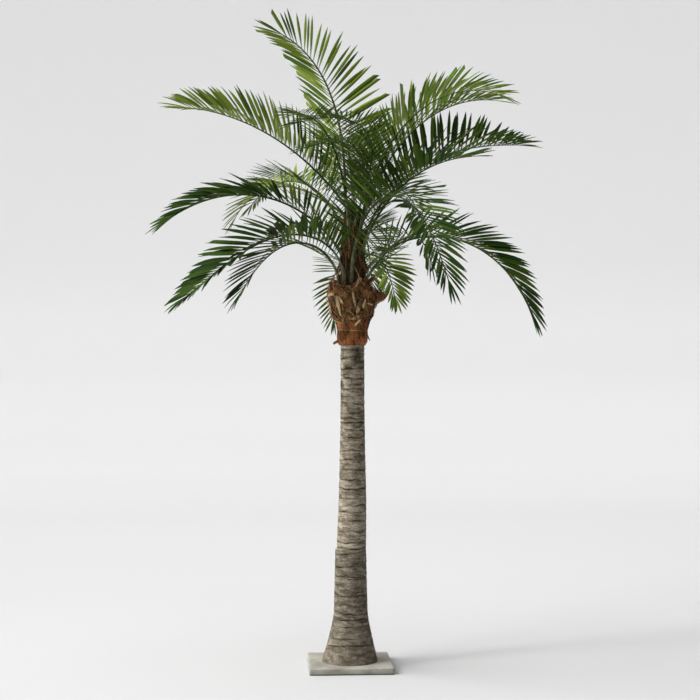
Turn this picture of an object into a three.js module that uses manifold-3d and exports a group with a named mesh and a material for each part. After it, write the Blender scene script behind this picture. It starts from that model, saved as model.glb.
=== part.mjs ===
// Artificial coconut palm: a moulded trunk on a square plate, a fibre crown and feather fronds.
// Millimetres, +Z up. The origin lies at the middle of the plate's underside.
// Seen from the front, +X is to the right and +Y points away.
import * as THREE from 'three';
import { mergeVertices } from 'three/addons/utils/BufferGeometryUtils.js';
import Module from 'manifold-3d';

const wasm = await Module();
wasm.setup();

// Driving dimensions
const SEAT_GAP = 0.3;
const WELD_REACH = 0.001;
const ROUND_SIDES = 16;

const PLATE_SIDE = 400;
const PLATE_THICK = 30;
const PLATE_CORNER = 8;
const PLATE_BEVEL = 3;
const CORNER_STEPS = 3;

const TRUNK_LEAN = 14;
const LEAN_HEIGHT = 900;
const FOOT_LEAN = 5.5;
const SHAFT_LEAN = 8.5;
const FLARE_RADIUS = 133;
const FLARE_TOP = 265;
const FLARE_POWER = 1.25;
const WAIST_RADIUS = 79.5;
const STEP_HEIGHT = 567;
const FOOT_TOP_RADIUS = 73.5;
const SHAFT_FOOT_RADIUS = 69.5;
const SHAFT_TOP_RADIUS = 56;
const SHAFT_TAPER_END = 1290;
const SHAFT_TAPER_POWER = 1.1;
const SHAFT_TOP = 1590;
const RING_PITCH = 97;
const RING_DEPTH = 1.8;
const RING_HEIGHT = 14;

const COLLAR_BOTTOM = 1553;
const COLLAR_TOP = 1676;
const COLLAR_HEM_RADIUS = 65;
const COLLAR_SKIRT_RADIUS = 76;
const COLLAR_TIE_HEIGHT = 1625;
const COLLAR_TIE_RADIUS = 72;
const COLLAR_TOP_RADIUS = 90;
const BULB_RADIUS = 124;
const BULB_WIDEST = 1802;
const BULB_RIM = 1872;
const BULB_RIM_RADIUS = 97;
const NEST_HEIGHT = 1850;
const NEST_RADIUS = 66;
const CORE_FOOT_RADIUS = 60;
const CORE_SHOULDER_RADIUS = 36;
const CORE_SHOULDER = 2200;
const CORE_TOP_RADIUS = 14;
const CORE_TOP = 2240;

// How the crown's sides swell: shares of the way from one radius to the next, and from one height to the next
const SKIRT_SWELL = [[0, 0.2], [0.6, 0.6], [1, 1]];
const COLLAR_SWELL = [[0.6, 0.5], [1, 1]];
const BULB_SWELL = [[0.32, 0.15], [0.56, 0.5], [0.88, 0.76], [1, 1]];
const CORE_SWELL = [[0, 0], [0.05, 0.3], [0.4, 0.6], [1, 1]];

// Torn sheath ends: a ring of them round the bulb, a horn on its right, a tuft and a flap on the collar
const STUB_LENGTH = 105;
const STUB_WIDTH = 24;
const STUB_THICK = 9;
const STUB_SIDES = 5;
const STUB_COUNT = 7;
const STUB_FIRST = 22;
const STUB_RADIUS = 87;
const STUB_RAISED = 56;
const STUB_HEIGHTS = [1745, 1767, 1790];
const HORN = { azimuth: -4, radius: 60, height: 1816, raised: -6, size: 0.9 };
const TUFT = { azimuth: 184, radius: 64, height: 1575, raised: -12, size: 0.5 };
const FLAP = { azimuth: -8, radius: 56, height: 1585, raised: -6, size: 0.42 };

const RACHIS_STEPS = 32;
const STALK_STEPS = 5;
const HEEL_WIDTH = 26;
const STALK_WIDTH = 16;
const RIB_TIP_WIDTH = 7;
const RIB_THICKNESS_SHARE = 0.7;
const HEEL_REACH = 0.1;
const BARE_STALK = 0.15;
const LAST_LEAFLET = 0.97;
const TERMINAL_LENGTH = 120;

const LEAFLETS_A_SIDE = 14;
const LEAFLET_LENGTH = 245;
const LEAFLET_THICK = 4;
const LEAFLET_FILL = 0.75;
const LEAFLET_BELLY = 0.45;
const LEAFLET_NECK = 0.06;
const LEAFLET_CLEARANCE = 0.5;
const SPACE_TIP_SHARE = 0.1;
const ROOT_SHARE = 0.6;
const LONGEST_AT = 0.3;
const SHORTEST_AT_STALK = 0.9;
const SHORTEST_AT_TIP = 0.55;
const TIP_SHORTENING = 1.6;
const TIP_FOLD_SHARE = 0.5;
const SPREAD_AT_STALK = 60;
const SPREAD_AT_TIP = 25;
const SPREAD_POWER = 2.2;
const SIDE_SPREAD_FROM = 0.4;
const SHORTER_TRIES = [1, 0.75, 0.5];
const PARTING_TURN = 100;

// One row a frond, angles in degrees. Headings run from 0 at the right, through 90 at the back, to 180
// at the left. seat and reach place the heel round the core, and foot is its height. The rachis leaves
// at the rise, ends at the fall and turns sideways by the sweep. roll tips the feather about the rachis,
// fold lifts its leaflets into a V, and blade is the longest leaflet where it isn't the usual one. left and
// right are the shares of the usual spread that its outer leaflets take on those sides, seen from the heel,
// and near is the share that the first ones take.
const FROND_ROWS = [
  { name: 'frond_crest', seat: 180, reach: 30, foot: 2115, heading: 185, rise: 89, fall: 26,
    length: 1040, bend: 2.5, sweep: 0, roll: 62, fold: 26, blade: 290, near: 0.9, left: 1.25, right: 0.7 },
  { name: 'frond_left_high', seat: -125, reach: 25, foot: 2200, heading: -152, rise: 49, fall: 0,
    length: 1000, bend: 1.15, sweep: 0, roll: -35, fold: 48, blade: 260 },
  { name: 'frond_left_middle', seat: -165, reach: 42, foot: 1975, heading: -150, rise: 56, fall: -34,
    length: 1060, bend: 0.9, sweep: 0, roll: -10, fold: 32, near: 1.15, left: 0.6, right: 0.6 },
  { name: 'frond_left_back', seat: 130, reach: 30, foot: 2170, heading: 138, rise: 35, fall: -52,
    length: 826, bend: 1.75, sweep: 0, roll: -20, fold: 32, blade: 220 },
  { name: 'frond_left_low', seat: -128, reach: 70, foot: 1850, heading: -153, rise: 96, fall: -38,
    length: 1050, bend: 0.36, sweep: 0, roll: -8, fold: 32 },
  { name: 'frond_left_front', seat: 165, reach: 60, foot: 1850, heading: -137, rise: 75, fall: -52,
    length: 815, bend: 0.62, sweep: 0, roll: 15, fold: 32 },
  { name: 'frond_back_low_left', seat: 100, reach: 50, foot: 1905, heading: 98, rise: 44, fall: -75,
    length: 590, bend: 0.7, sweep: 0, roll: 0, fold: 26, blade: 175 },
  { name: 'frond_right_high', seat: -25, reach: 35, foot: 2105, heading: -23, rise: 76, fall: -23,
    length: 1060, bend: 1.85, sweep: 0, roll: 20, fold: 54, blade: 260 },
  { name: 'frond_right_high_back', seat: 25, reach: 35, foot: 2100, heading: 15, rise: 72, fall: -2,
    length: 1060, bend: 1.6, sweep: 0, roll: 15, fold: 44 },
  { name: 'frond_right_middle', seat: 16, reach: 44, foot: 2030, heading: 24, rise: 73, fall: 3,
    length: 1140, bend: 0.68, sweep: 0, roll: 22, fold: 72, blade: 285, left: 1.2, right: 1.2 },
  { name: 'frond_right_front', seat: -22, reach: 44, foot: 1995, heading: -50, rise: 66, fall: -2,
    length: 875, bend: 0.86, sweep: 0, roll: 10, fold: 38 },
  { name: 'frond_front_arch', seat: -95, reach: 70, foot: 1850, heading: -68, rise: 96, fall: -58,
    length: 1340, bend: 0.62, sweep: 0, roll: 0, fold: 30 },
  { name: 'frond_right_low', seat: -5, reach: 48, foot: 1890, heading: -18, rise: 58, fall: -67,
    length: 1052, bend: 0.78, sweep: 0, roll: 24, fold: 34, left: 0.65, right: 0.65 },
  { name: 'frond_front_low', seat: -35, reach: 60, foot: 1856, heading: -64, rise: 33, fall: -70,
    length: 693, bend: 2.9, sweep: 0, roll: 0, fold: 30 },
  { name: 'frond_back_low_right', seat: 48, reach: 50, foot: 1910, heading: 58, rise: 69, fall: -63,
    length: 524, bend: 0.58, sweep: 0, roll: 0, fold: 26, blade: 190 },
  { name: 'frond_front_high', seat: -92, reach: 32, foot: 2090, heading: -45, rise: 74, fall: -20,
    length: 1130, bend: 0.9, sweep: -120, roll: 0, fold: 30, blade: 170 },
  { name: 'frond_front_middle', seat: -60, reach: 40, foot: 2030, heading: -60, rise: 76, fall: -20,
    length: 1000, bend: 0.9, sweep: -90, roll: 0, fold: 30, blade: 170 },
  { name: 'frond_front_left', seat: -118, reach: 42, foot: 2100, heading: -111, rise: 85, fall: -14,
    length: 1090, bend: 0.72, sweep: 0, roll: 0, fold: 30, blade: 210 },
  { name: 'frond_back_high', seat: 68, reach: 28, foot: 2150, heading: 92, rise: 68, fall: -20,
    length: 1080, bend: 1.2, sweep: 0, roll: 0, fold: 34 },
  { name: 'frond_back_right', seat: 66, reach: 40, foot: 2060, heading: 64, rise: 60, fall: -30,
    length: 1000, bend: 1, sweep: 0, roll: 0, fold: 34 },
  { name: 'frond_back_left', seat: 125, reach: 38, foot: 2060, heading: 120, rise: 60, fall: -30,
    length: 1080, bend: 1, sweep: 0, roll: 0, fold: 34 },
  { name: 'frond_back_middle', seat: 78, reach: 45, foot: 1970, heading: 80, rise: 48, fall: -55,
    length: 1050, bend: 0.9, sweep: 0, roll: 0, fold: 34 },
];

const MATERIALS = {
  plate: new THREE.MeshStandardMaterial({ color: 0x8c8c8a, roughness: 0.85, metalness: 0 }),
  trunk: new THREE.MeshStandardMaterial({ color: 0x857b72, roughness: 0.9, metalness: 0 }),
  fibre: new THREE.MeshStandardMaterial({ color: 0x6a4128, roughness: 0.95, metalness: 0 }),
  frond: new THREE.MeshStandardMaterial({ color: 0x3c5a2c, roughness: 0.6, metalness: 0 }),
};

// Solids and geometries

function solidFrom(geometry) {
  const bare = geometry.clone();
  for (const name of Object.keys(bare.attributes)) {
    if (name !== 'position') bare.deleteAttribute(name);
  }
  const merged = mergeVertices(bare, WELD_REACH);
  return new wasm.Manifold(new wasm.Mesh({
    numProp: 3,
    vertProperties: new Float32Array(merged.attributes.position.array),
    triVerts: new Uint32Array(merged.index.array),
  }));
}

function geometryFrom(solid) {
  const mesh = solid.getMesh();
  const geometry = new THREE.BufferGeometry();
  geometry.setAttribute('position', new THREE.BufferAttribute(mesh.vertProperties, mesh.numProp));
  geometry.setIndex(new THREE.BufferAttribute(mesh.triVerts, 1));
  return geometry;
}

function meshNode(name, geometry, material) {
  const mesh = new THREE.Mesh(geometry, material);
  mesh.name = name;
  return mesh;
}

// A profile of [radius, height] pairs turned about a vertical axis at x
function turned(profile, x) {
  const points = profile.map(([radius, height]) => new THREE.Vector2(radius, height));
  const geometry = new THREE.LatheGeometry(points, ROUND_SIDES);
  return geometry.rotateX(Math.PI / 2).translate(x, 0, 0);
}

const radians = THREE.MathUtils.degToRad;
const mix = THREE.MathUtils.lerp;

// Base plate

function plateGeometry() {
  const flat = PLATE_SIDE / 2 - PLATE_BEVEL;
  const inner = flat - PLATE_CORNER;
  const outline = new THREE.Shape();
  for (let corner = 0; corner < 4; corner += 1) {
    const start = corner * Math.PI / 2;
    const x = inner * Math.SQRT2 * Math.cos(start + Math.PI / 4);
    const y = inner * Math.SQRT2 * Math.sin(start + Math.PI / 4);
    outline.absarc(x, y, PLATE_CORNER, start, start + Math.PI / 2, false);
  }
  const geometry = new THREE.ExtrudeGeometry(outline, {
    depth: PLATE_THICK - 2 * PLATE_BEVEL,
    bevelSize: PLATE_BEVEL,
    bevelThickness: PLATE_BEVEL,
    bevelSegments: 1,
    curveSegments: CORNER_STEPS,
  });
  return geometry.translate(0, 0, PLATE_BEVEL);
}

// Trunk

function trunkRadius(height) {
  if (height < FLARE_TOP) {
    const toFoot = (FLARE_TOP - height) / (FLARE_TOP - PLATE_THICK);
    return WAIST_RADIUS + (FLARE_RADIUS - WAIST_RADIUS) * toFoot ** FLARE_POWER;
  }
  if (height < STEP_HEIGHT) {
    return mix(WAIST_RADIUS, FOOT_TOP_RADIUS, (height - FLARE_TOP) / (STEP_HEIGHT - FLARE_TOP));
  }
  const toStep = Math.max(0, SHAFT_TAPER_END - height) / (SHAFT_TAPER_END - STEP_HEIGHT);
  return mix(SHAFT_TOP_RADIUS, SHAFT_FOOT_RADIUS, toStep ** SHAFT_TAPER_POWER);
}

// The shaft stands a little to the side of the foot and leans on from there
function trunkDrift(height) {
  if (height <= STEP_HEIGHT) {
    return FOOT_LEAN * Math.sin(Math.PI / 2 * Math.min(1, height / FLARE_TOP));
  }
  const up = Math.min(1, (height - STEP_HEIGHT) / (LEAN_HEIGHT - STEP_HEIGHT));
  return mix(SHAFT_LEAN, TRUNK_LEAN, Math.sin(Math.PI / 2 * up));
}

// A length of trunk with a sloped ledge under each ring scar, leaning with the height
function trunkGeometry(bottom, top) {
  const profile = [[0, bottom], [trunkRadius(bottom), bottom]];
  const ringsEnd = Math.min(top, COLLAR_BOTTOM) - RING_HEIGHT;
  for (let ring = bottom + RING_PITCH / 2; ring < ringsEnd; ring += RING_PITCH) {
    profile.push([trunkRadius(ring) + RING_DEPTH / 2, ring]);
    profile.push([trunkRadius(ring + RING_HEIGHT) - RING_DEPTH / 2, ring + RING_HEIGHT]);
  }
  profile.push([trunkRadius(top - SEAT_GAP), top], [0, top]);
  const geometry = turned(profile, 0);
  const position = geometry.attributes.position;
  for (let i = 0; i < position.count; i += 1) {
    position.setX(i, position.getX(i) + trunkDrift(position.getZ(i)));
  }
  return geometry;
}

// Fibre crown

// Points of a side that swells from one [radius, height] to another
function swollen(swell, [fromRadius, fromHeight], [toRadius, toHeight]) {
  return swell.map(([across, up]) => [mix(fromRadius, toRadius, across), mix(fromHeight, toHeight, up)]);
}

// A torn sheath end: a flat tapering tongue that points along an azimuth, raised from level
function sheathStub({ azimuth, radius, height, raised, size }) {
  const tongue = new THREE.ConeGeometry(1, 1, STUB_SIDES);
  tongue.translate(0, 0.5, 0).scale(STUB_WIDTH * size, STUB_LENGTH * size, STUB_THICK * size);
  tongue.rotateX(radians(raised)).rotateZ(radians(azimuth - 90));
  const x = TRUNK_LEAN + radius * Math.cos(radians(azimuth));
  const y = radius * Math.sin(radians(azimuth));
  return solidFrom(tongue.translate(x, y, height));
}

function collarGeometry() {
  const bore = SHAFT_TOP_RADIUS + SEAT_GAP;
  const ceiling = SHAFT_TOP + SEAT_GAP;
  const tie = [COLLAR_TIE_RADIUS, COLLAR_TIE_HEIGHT];
  const wrap = solidFrom(turned([
    [0, ceiling],
    [bore, ceiling],
    [bore, COLLAR_BOTTOM],
    [COLLAR_HEM_RADIUS, COLLAR_BOTTOM],
    ...swollen(SKIRT_SWELL, [COLLAR_SKIRT_RADIUS, COLLAR_BOTTOM], tie),
    ...swollen(COLLAR_SWELL, tie, [COLLAR_TOP_RADIUS, COLLAR_TOP]),
    [0, COLLAR_TOP],
  ], TRUNK_LEAN));
  return geometryFrom(wrap.add(sheathStub(TUFT)).add(sheathStub(FLAP)));
}

// The bulb and the core, grown by a gap where they are cut from a frond's heel
function bulbSolid(gap) {
  const bottom = COLLAR_TOP + SEAT_GAP - gap;
  const side = swollen(BULB_SWELL, [COLLAR_TOP_RADIUS, COLLAR_TOP], [BULB_RADIUS, BULB_WIDEST]);
  let bulb = solidFrom(turned([
    [0, bottom],
    [COLLAR_TOP_RADIUS + gap, bottom],
    ...side.map(([radius, height]) => [radius + gap, height]),
    [BULB_RIM_RADIUS + gap, BULB_RIM + gap],
    [NEST_RADIUS, NEST_HEIGHT + gap],
    [0, NEST_HEIGHT + gap],
  ], TRUNK_LEAN));
  const grown = gap / STUB_THICK;
  for (let i = 0; i < STUB_COUNT; i += 1) {
    bulb = bulb.add(sheathStub({
      azimuth: STUB_FIRST + i * 360 / STUB_COUNT,
      radius: STUB_RADIUS,
      height: STUB_HEIGHTS[i % STUB_HEIGHTS.length],
      raised: STUB_RAISED,
      size: 1 + grown,
    }));
  }
  return bulb.add(sheathStub({ ...HORN, size: HORN.size + grown }));
}

function coreGeometry(gap) {
  const bottom = NEST_HEIGHT + SEAT_GAP - gap;
  const side = swollen(CORE_SWELL, [CORE_FOOT_RADIUS, bottom], [CORE_SHOULDER_RADIUS, CORE_SHOULDER]);
  return turned([
    [0, bottom],
    ...side.map(([radius, height]) => [radius + gap, height]),
    [CORE_TOP_RADIUS + gap, CORE_TOP + gap],
    [0, CORE_TOP + gap],
  ], TRUNK_LEAN);
}

// Fronds

// The rachis as points with a frame at each: along it, up from its blade, and to its side
function rachisFrames(row) {
  const stride = row.length / RACHIS_STEPS;
  const point = new THREE.Vector3(
    TRUNK_LEAN + row.reach * Math.cos(radians(row.seat)),
    row.reach * Math.sin(radians(row.seat)),
    row.foot,
  );
  const frames = [];
  for (let i = 0; i <= RACHIS_STEPS; i += 1) {
    const t = i / RACHIS_STEPS;
    const turn = row.bend >= 1 ? t ** row.bend : 1 - (1 - t) ** (1 / row.bend);
    const climb = radians(mix(row.rise, row.fall, turn));
    const heading = radians(row.heading + row.sweep * t);
    const along = new THREE.Vector3(
      Math.cos(climb) * Math.cos(heading),
      Math.cos(climb) * Math.sin(heading),
      Math.sin(climb),
    );
    const up = new THREE.Vector3(
      -Math.sin(climb) * Math.cos(heading),
      -Math.sin(climb) * Math.sin(heading),
      Math.cos(climb),
    );
    const roll = radians(row.roll) * Math.min(1, t / BARE_STALK);
    up.applyAxisAngle(along, roll);
    const side = new THREE.Vector3().crossVectors(along, up);
    if (i > 0) {
      const middle = frames[i - 1].along.clone().add(along).normalize();
      point.addScaledVector(middle, stride);
    }
    frames.push({ point: point.clone(), along, up, side });
  }
  return frames;
}

function frameAt(frames, t) {
  const place = Math.min(t, 1) * RACHIS_STEPS;
  const index = Math.min(Math.floor(place), RACHIS_STEPS - 1);
  const near = frames[index];
  const far = frames[index + 1];
  const part = place - index;
  return {
    point: near.point.clone().lerp(far.point, part),
    along: near.along.clone().lerp(far.along, part).normalize(),
    up: near.up.clone().lerp(far.up, part).normalize(),
    side: near.side.clone().lerp(far.side, part).normalize(),
  };
}

function ribWidth(t) {
  if (t < HEEL_REACH) return mix(HEEL_WIDTH, STALK_WIDTH, t / HEEL_REACH);
  return mix(STALK_WIDTH, RIB_TIP_WIDTH, (t - HEEL_REACH) / (1 - HEEL_REACH));
}

// The rib's four corners at a place on the rachis, in turn round it
function ribCorners(frames, t) {
  const { point, up, side } = frameAt(frames, t);
  const halfWidth = ribWidth(t) / 2;
  const halfThick = halfWidth * RIB_THICKNESS_SHARE;
  return [[1, 1], [1, -1], [-1, -1], [-1, 1]].map(([sideways, upwards]) => point.clone()
    .addScaledVector(side, sideways * halfWidth)
    .addScaledVector(up, upwards * halfThick));
}

const LEAFLET_PITCH = (LAST_LEAFLET - BARE_STALK) / (LEAFLETS_A_SIDE - 1);
const ROOT_HALF = LEAFLET_PITCH * ROOT_SHARE / 2;

// Places on the rachis: a few on the bare stalk, then a pair at each leaflet's root, then the tip
function ribStations() {
  const stations = [];
  for (let i = 0; i < STALK_STEPS; i += 1) {
    stations.push({ t: (BARE_STALK - ROOT_HALF) * i / STALK_STEPS });
  }
  for (let leaflet = 0; leaflet < LEAFLETS_A_SIDE; leaflet += 1) {
    const middle = BARE_STALK + leaflet * LEAFLET_PITCH;
    stations.push({ t: middle - ROOT_HALF, leaflet }, { t: middle + ROOT_HALF });
  }
  stations.push({ t: 1 });
  return stations;
}

// A frond that bends round a wide space is parted between two leaflets, where half of its turn is made
function stationRuns({ rise, fall, sweep, bend, length }) {
  const stations = ribStations();
  if (rise - fall + Math.abs(sweep) < PARTING_TURN) return [stations];
  const halfTurn = bend >= 1 ? 0.5 ** (1 / bend) : 1 - 0.5 ** bend;
  const first = stations.findIndex(({ t, leaflet }) => leaflet > 0 && t > halfTurn);
  const middle = (stations[first - 1].t + stations[first].t) / 2;
  const halfGap = SEAT_GAP / 2 / length;
  return [
    [...stations.slice(0, first), { t: middle - halfGap }],
    [{ t: middle + halfGap }, ...stations.slice(first)],
  ];
}

// Length share of a leaflet by its place between the stalk and the tip
function leafletReach(along) {
  if (along < LONGEST_AT) {
    return mix(SHORTEST_AT_STALK, 1, Math.sin(Math.PI / 2 * along / LONGEST_AT));
  }
  return mix(1, SHORTEST_AT_TIP, ((along - LONGEST_AT) / (1 - LONGEST_AT)) ** TIP_SHORTENING);
}

// A leaflet: the rib face that it grows from, where it points, and its sizes
function leafletBlade(row, frames, index, hand) {
  const share = index / (LEAFLETS_A_SIDE - 1);
  const { point, along, up, side } = frameAt(frames, BARE_STALK + index * LEAFLET_PITCH);
  const outer = (hand > 0 ? row.right : row.left) ?? 1;
  const open = mix(row.near ?? 1, outer, Math.min(1, share / SIDE_SPREAD_FROM));
  const spread = radians(open * mix(SPREAD_AT_STALK, SPREAD_AT_TIP, share ** SPREAD_POWER));
  const fold = radians(row.fold * mix(1, TIP_FOLD_SHARE, share));
  const direction = along.clone().multiplyScalar(Math.cos(spread))
    .addScaledVector(side, hand * Math.cos(fold) * Math.sin(spread))
    .addScaledVector(up, Math.sin(fold) * Math.sin(spread));
  const across = along.clone().addScaledVector(direction, -along.dot(direction)).normalize();
  const thick = new THREE.Vector3().crossVectors(direction, across);
  return {
    leaflet: index,
    face: hand > 0 ? 0 : 2,
    point,
    direction,
    across,
    thick,
    length: (row.blade ?? LEAFLET_LENGTH) * leafletReach(share),
    width: row.length * LEAFLET_PITCH * Math.sin(spread) * LEAFLET_FILL,
  };
}

function bladePoint(blade, reach, across, thick) {
  return blade.point.clone()
    .addScaledVector(blade.direction, reach * blade.length)
    .addScaledVector(blade.across, across * blade.width / 2)
    .addScaledVector(blade.thick, thick * LEAFLET_THICK / 2);
}

// A length of rib with its blades: each blade grows out of one side face of the rib and ends in a point
function featherGeometry(frames, stations, blades) {
  const vertices = [];
  const triangles = [];
  const addVertex = ({ x, y, z }) => vertices.push(x, y, z) / 3 - 1;
  const addQuad = (a, b, c, d) => triangles.push(a, b, c, a, c, d);
  const addPoint = (ring, apex) => {
    ring.forEach((corner, i) => triangles.push(corner, ring[(i + 1) % 4], apex));
  };
  const addBlade = (root, blade) => {
    const belly = [[-1, 1], [-1, -1], [1, -1], [1, 1]]
      .map(([across, thick]) => addVertex(bladePoint(blade, LEAFLET_BELLY, across, thick)));
    root.forEach((corner, i) => addQuad(corner, root[(i + 1) % 4], belly[(i + 1) % 4], belly[i]));
    addPoint(belly, addVertex(bladePoint(blade, 1, 0, 0)));
  };
  const rings = stations.map(({ t }) => ribCorners(frames, t).map(addVertex));
  for (let k = 0; k + 1 < rings.length; k += 1) {
    for (let face = 0; face < 4; face += 1) {
      const next = (face + 1) % 4;
      const root = [rings[k][face], rings[k][next], rings[k + 1][next], rings[k + 1][face]];
      const blade = blades.find((one) => one.leaflet === stations[k].leaflet && one.face === face);
      if (blade) addBlade(root, blade);
      else addQuad(...root);
    }
  }
  addQuad(...rings[0].toReversed());
  const end = stations.at(-1).t;
  if (end < 1) {
    addQuad(...rings.at(-1));
  } else {
    const { point, along } = frameAt(frames, end);
    addPoint(rings.at(-1), addVertex(point.addScaledVector(along, TERMINAL_LENGTH)));
  }
  const geometry = new THREE.BufferGeometry();
  geometry.setAttribute('position', new THREE.Float32BufferAttribute(vertices, 3));
  geometry.setIndex(triangles);
  return geometry;
}

// A blade's space, a little larger than the blade, to see whether it would touch anything
function bladeSpace(blade) {
  const hull = new THREE.CylinderGeometry(1, 1, 1, 4, 2).rotateY(Math.PI / 4);
  const position = hull.attributes.position;
  const wider = Math.SQRT2 * (1 + 2 * LEAFLET_CLEARANCE / blade.width);
  const thicker = Math.SQRT2 * (1 + 2 * LEAFLET_CLEARANCE / LEAFLET_THICK);
  for (let i = 0; i < position.count; i += 1) {
    const y = 2 * position.getY(i);
    const reach = mix(LEAFLET_BELLY, y > 0 ? 1 : LEAFLET_NECK, Math.abs(y));
    const share = y > 0 ? mix(1, SPACE_TIP_SHARE, y) : 1;
    const across = position.getX(i) * wider * share;
    const vertex = bladePoint(blade, reach, across, -position.getZ(i) * thicker * share);
    position.setXYZ(i, vertex.x, vertex.y, vertex.z);
  }
  return solidFrom(hull);
}

function obstacleFrom(solid, owner, side) {
  return { solid, box: solid.boundingBox(), owner, side };
}

function meets(a, b) {
  const boxesMeet = [0, 1, 2].every((axis) => (
    a.box.min[axis] < b.box.max[axis] && b.box.min[axis] < a.box.max[axis]
  ));
  return boxesMeet && !a.solid.intersect(b.solid).isEmpty();
}

// The blades of one frond, each shortened or skipped where it would touch another piece
function placeBlades(row, frames, obstacles) {
  const blades = [];
  for (let index = 0; index < LEAFLETS_A_SIDE; index += 1) {
    for (const hand of [-1, 1]) {
      const blade = leafletBlade(row, frames, index, hand);
      const others = obstacles.filter(({ owner, side }) => owner !== row.name || side === hand);
      for (const part of SHORTER_TRIES) {
        const trial = { ...blade, length: blade.length * part };
        const space = obstacleFrom(bladeSpace(trial), row.name, hand);
        if (others.some((other) => meets(space, other))) continue;
        blades.push(trial);
        obstacles.push(space);
        break;
      }
    }
  }
  return blades;
}

// Each frond's heel is cut clear of the pieces that carry it
function frondSolid(frames, stations, blades, carriers) {
  const feather = solidFrom(featherGeometry(frames, stations, blades));
  const bodies = carriers.reduce((rest, carrier) => rest.subtract(carrier), feather).decompose();
  return bodies.reduce((largest, body) => (body.volume() > largest.volume() ? body : largest));
}

function frondNodes(carriers) {
  const obstacles = carriers.map((carrier) => obstacleFrom(carrier));
  for (const row of FROND_ROWS) {
    const rib = frondSolid(rachisFrames(row), ribStations(), [], carriers);
    obstacles.push(obstacleFrom(rib, row.name));
  }
  return FROND_ROWS.flatMap((row) => {
    const frames = rachisFrames(row);
    const blades = placeBlades(row, frames, obstacles);
    return stationRuns(row).map((stations, run) => {
      const solid = frondSolid(frames, stations, blades, carriers);
      return meshNode(run ? `${row.name}_tip` : row.name, geometryFrom(solid), MATERIALS.frond);
    });
  });
}

// Assembly

const palm = new THREE.Group();
palm.add(
  meshNode('base_plate', plateGeometry(), MATERIALS.plate),
  meshNode('trunk_foot', trunkGeometry(PLATE_THICK + SEAT_GAP, STEP_HEIGHT), MATERIALS.trunk),
  meshNode('trunk_shaft', trunkGeometry(STEP_HEIGHT + SEAT_GAP, SHAFT_TOP), MATERIALS.trunk),
  meshNode('fibre_collar', collarGeometry(), MATERIALS.fibre),
  meshNode('fibre_bulb', geometryFrom(bulbSolid(0)), MATERIALS.fibre),
  meshNode('crown_core', coreGeometry(0), MATERIALS.fibre),
);
const carriers = [
  bulbSolid(SEAT_GAP),
  solidFrom(coreGeometry(SEAT_GAP)),
];
palm.add(...frondNodes(carriers));

export default palm;
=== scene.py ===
import math
import random
from collections import namedtuple

import bmesh
import bpy
import numpy as np
from bpy.props import FloatProperty, FloatVectorProperty, IntProperty, PointerProperty
from mathutils import Matrix, Vector, noise


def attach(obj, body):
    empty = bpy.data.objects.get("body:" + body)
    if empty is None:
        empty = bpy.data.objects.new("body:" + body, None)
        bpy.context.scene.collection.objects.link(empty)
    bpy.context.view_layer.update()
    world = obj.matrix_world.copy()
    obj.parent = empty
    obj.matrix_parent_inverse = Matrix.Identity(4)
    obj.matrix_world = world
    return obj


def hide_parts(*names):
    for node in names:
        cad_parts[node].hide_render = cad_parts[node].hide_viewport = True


bl_info = {
    "name": "Artificial Coconut Palm",
    "version": (1, 0, 0),
    "blender": (4, 5, 0),
    "location": "View3D > Sidebar > Palm",
    "description": "Dresses the solids of an artificial coconut palm on a stand plate",
    "category": "Object",
}

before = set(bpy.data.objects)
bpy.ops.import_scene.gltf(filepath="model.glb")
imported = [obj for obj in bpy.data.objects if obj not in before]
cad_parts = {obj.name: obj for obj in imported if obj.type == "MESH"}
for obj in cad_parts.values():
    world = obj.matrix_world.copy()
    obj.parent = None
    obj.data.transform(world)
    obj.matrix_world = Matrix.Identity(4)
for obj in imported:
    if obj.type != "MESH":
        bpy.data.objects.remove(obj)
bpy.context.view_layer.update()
BODY = "root"
MM = 0.001
WELD = 0.01 * MM

# Sizes shared with the solids, in millimetres
PLATE_SIDE = 400
PLATE_THICK = 30
PLATE_CORNER = 8
TRUNK_LEAN = 14
LEAN_HEIGHT = 900
FOOT_LEAN = 5.5
SHAFT_LEAN = 8.5
FLARE_RADIUS = 133
FLARE_TOP = 265
FLARE_POWER = 1.25
WAIST_RADIUS = 79.5
STEP_HEIGHT = 567
FOOT_TOP_RADIUS = 73.5
SHAFT_FOOT_RADIUS = 69.5
SHAFT_TOP_RADIUS = 56
SHAFT_TAPER_END = 1290
SHAFT_TAPER_POWER = 1.1
SHAFT_TOP = 1590

# Outlines of the fibre crown as radius and height
COLLAR_OUTLINE = (
    (57, 1553), (61, 1553), (68, 1566), (72, 1590), (69, 1625), (75, 1645), (84, 1677))
BULB_OUTLINE = (
    (84, 1676), (94, 1692), (103, 1739), (113, 1772), (117, 1802), (94, 1872), (60, 1850))
CORE_OUTLINE = ((60, 1846), (59, 1955), (50, 2060), (36, 2200), (14, 2240))
CROWN_OUTLINE = COLLAR_OUTLINE[1:] + BULB_OUTLINE[1:-1] + CORE_OUTLINE[1:]
BULB_WIDEST = 1802
BULB_RIM = 1872
TIE_HEIGHT = 1625
TIE_RADIUS = 72
STRING_RADIUS = 1.7

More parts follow.
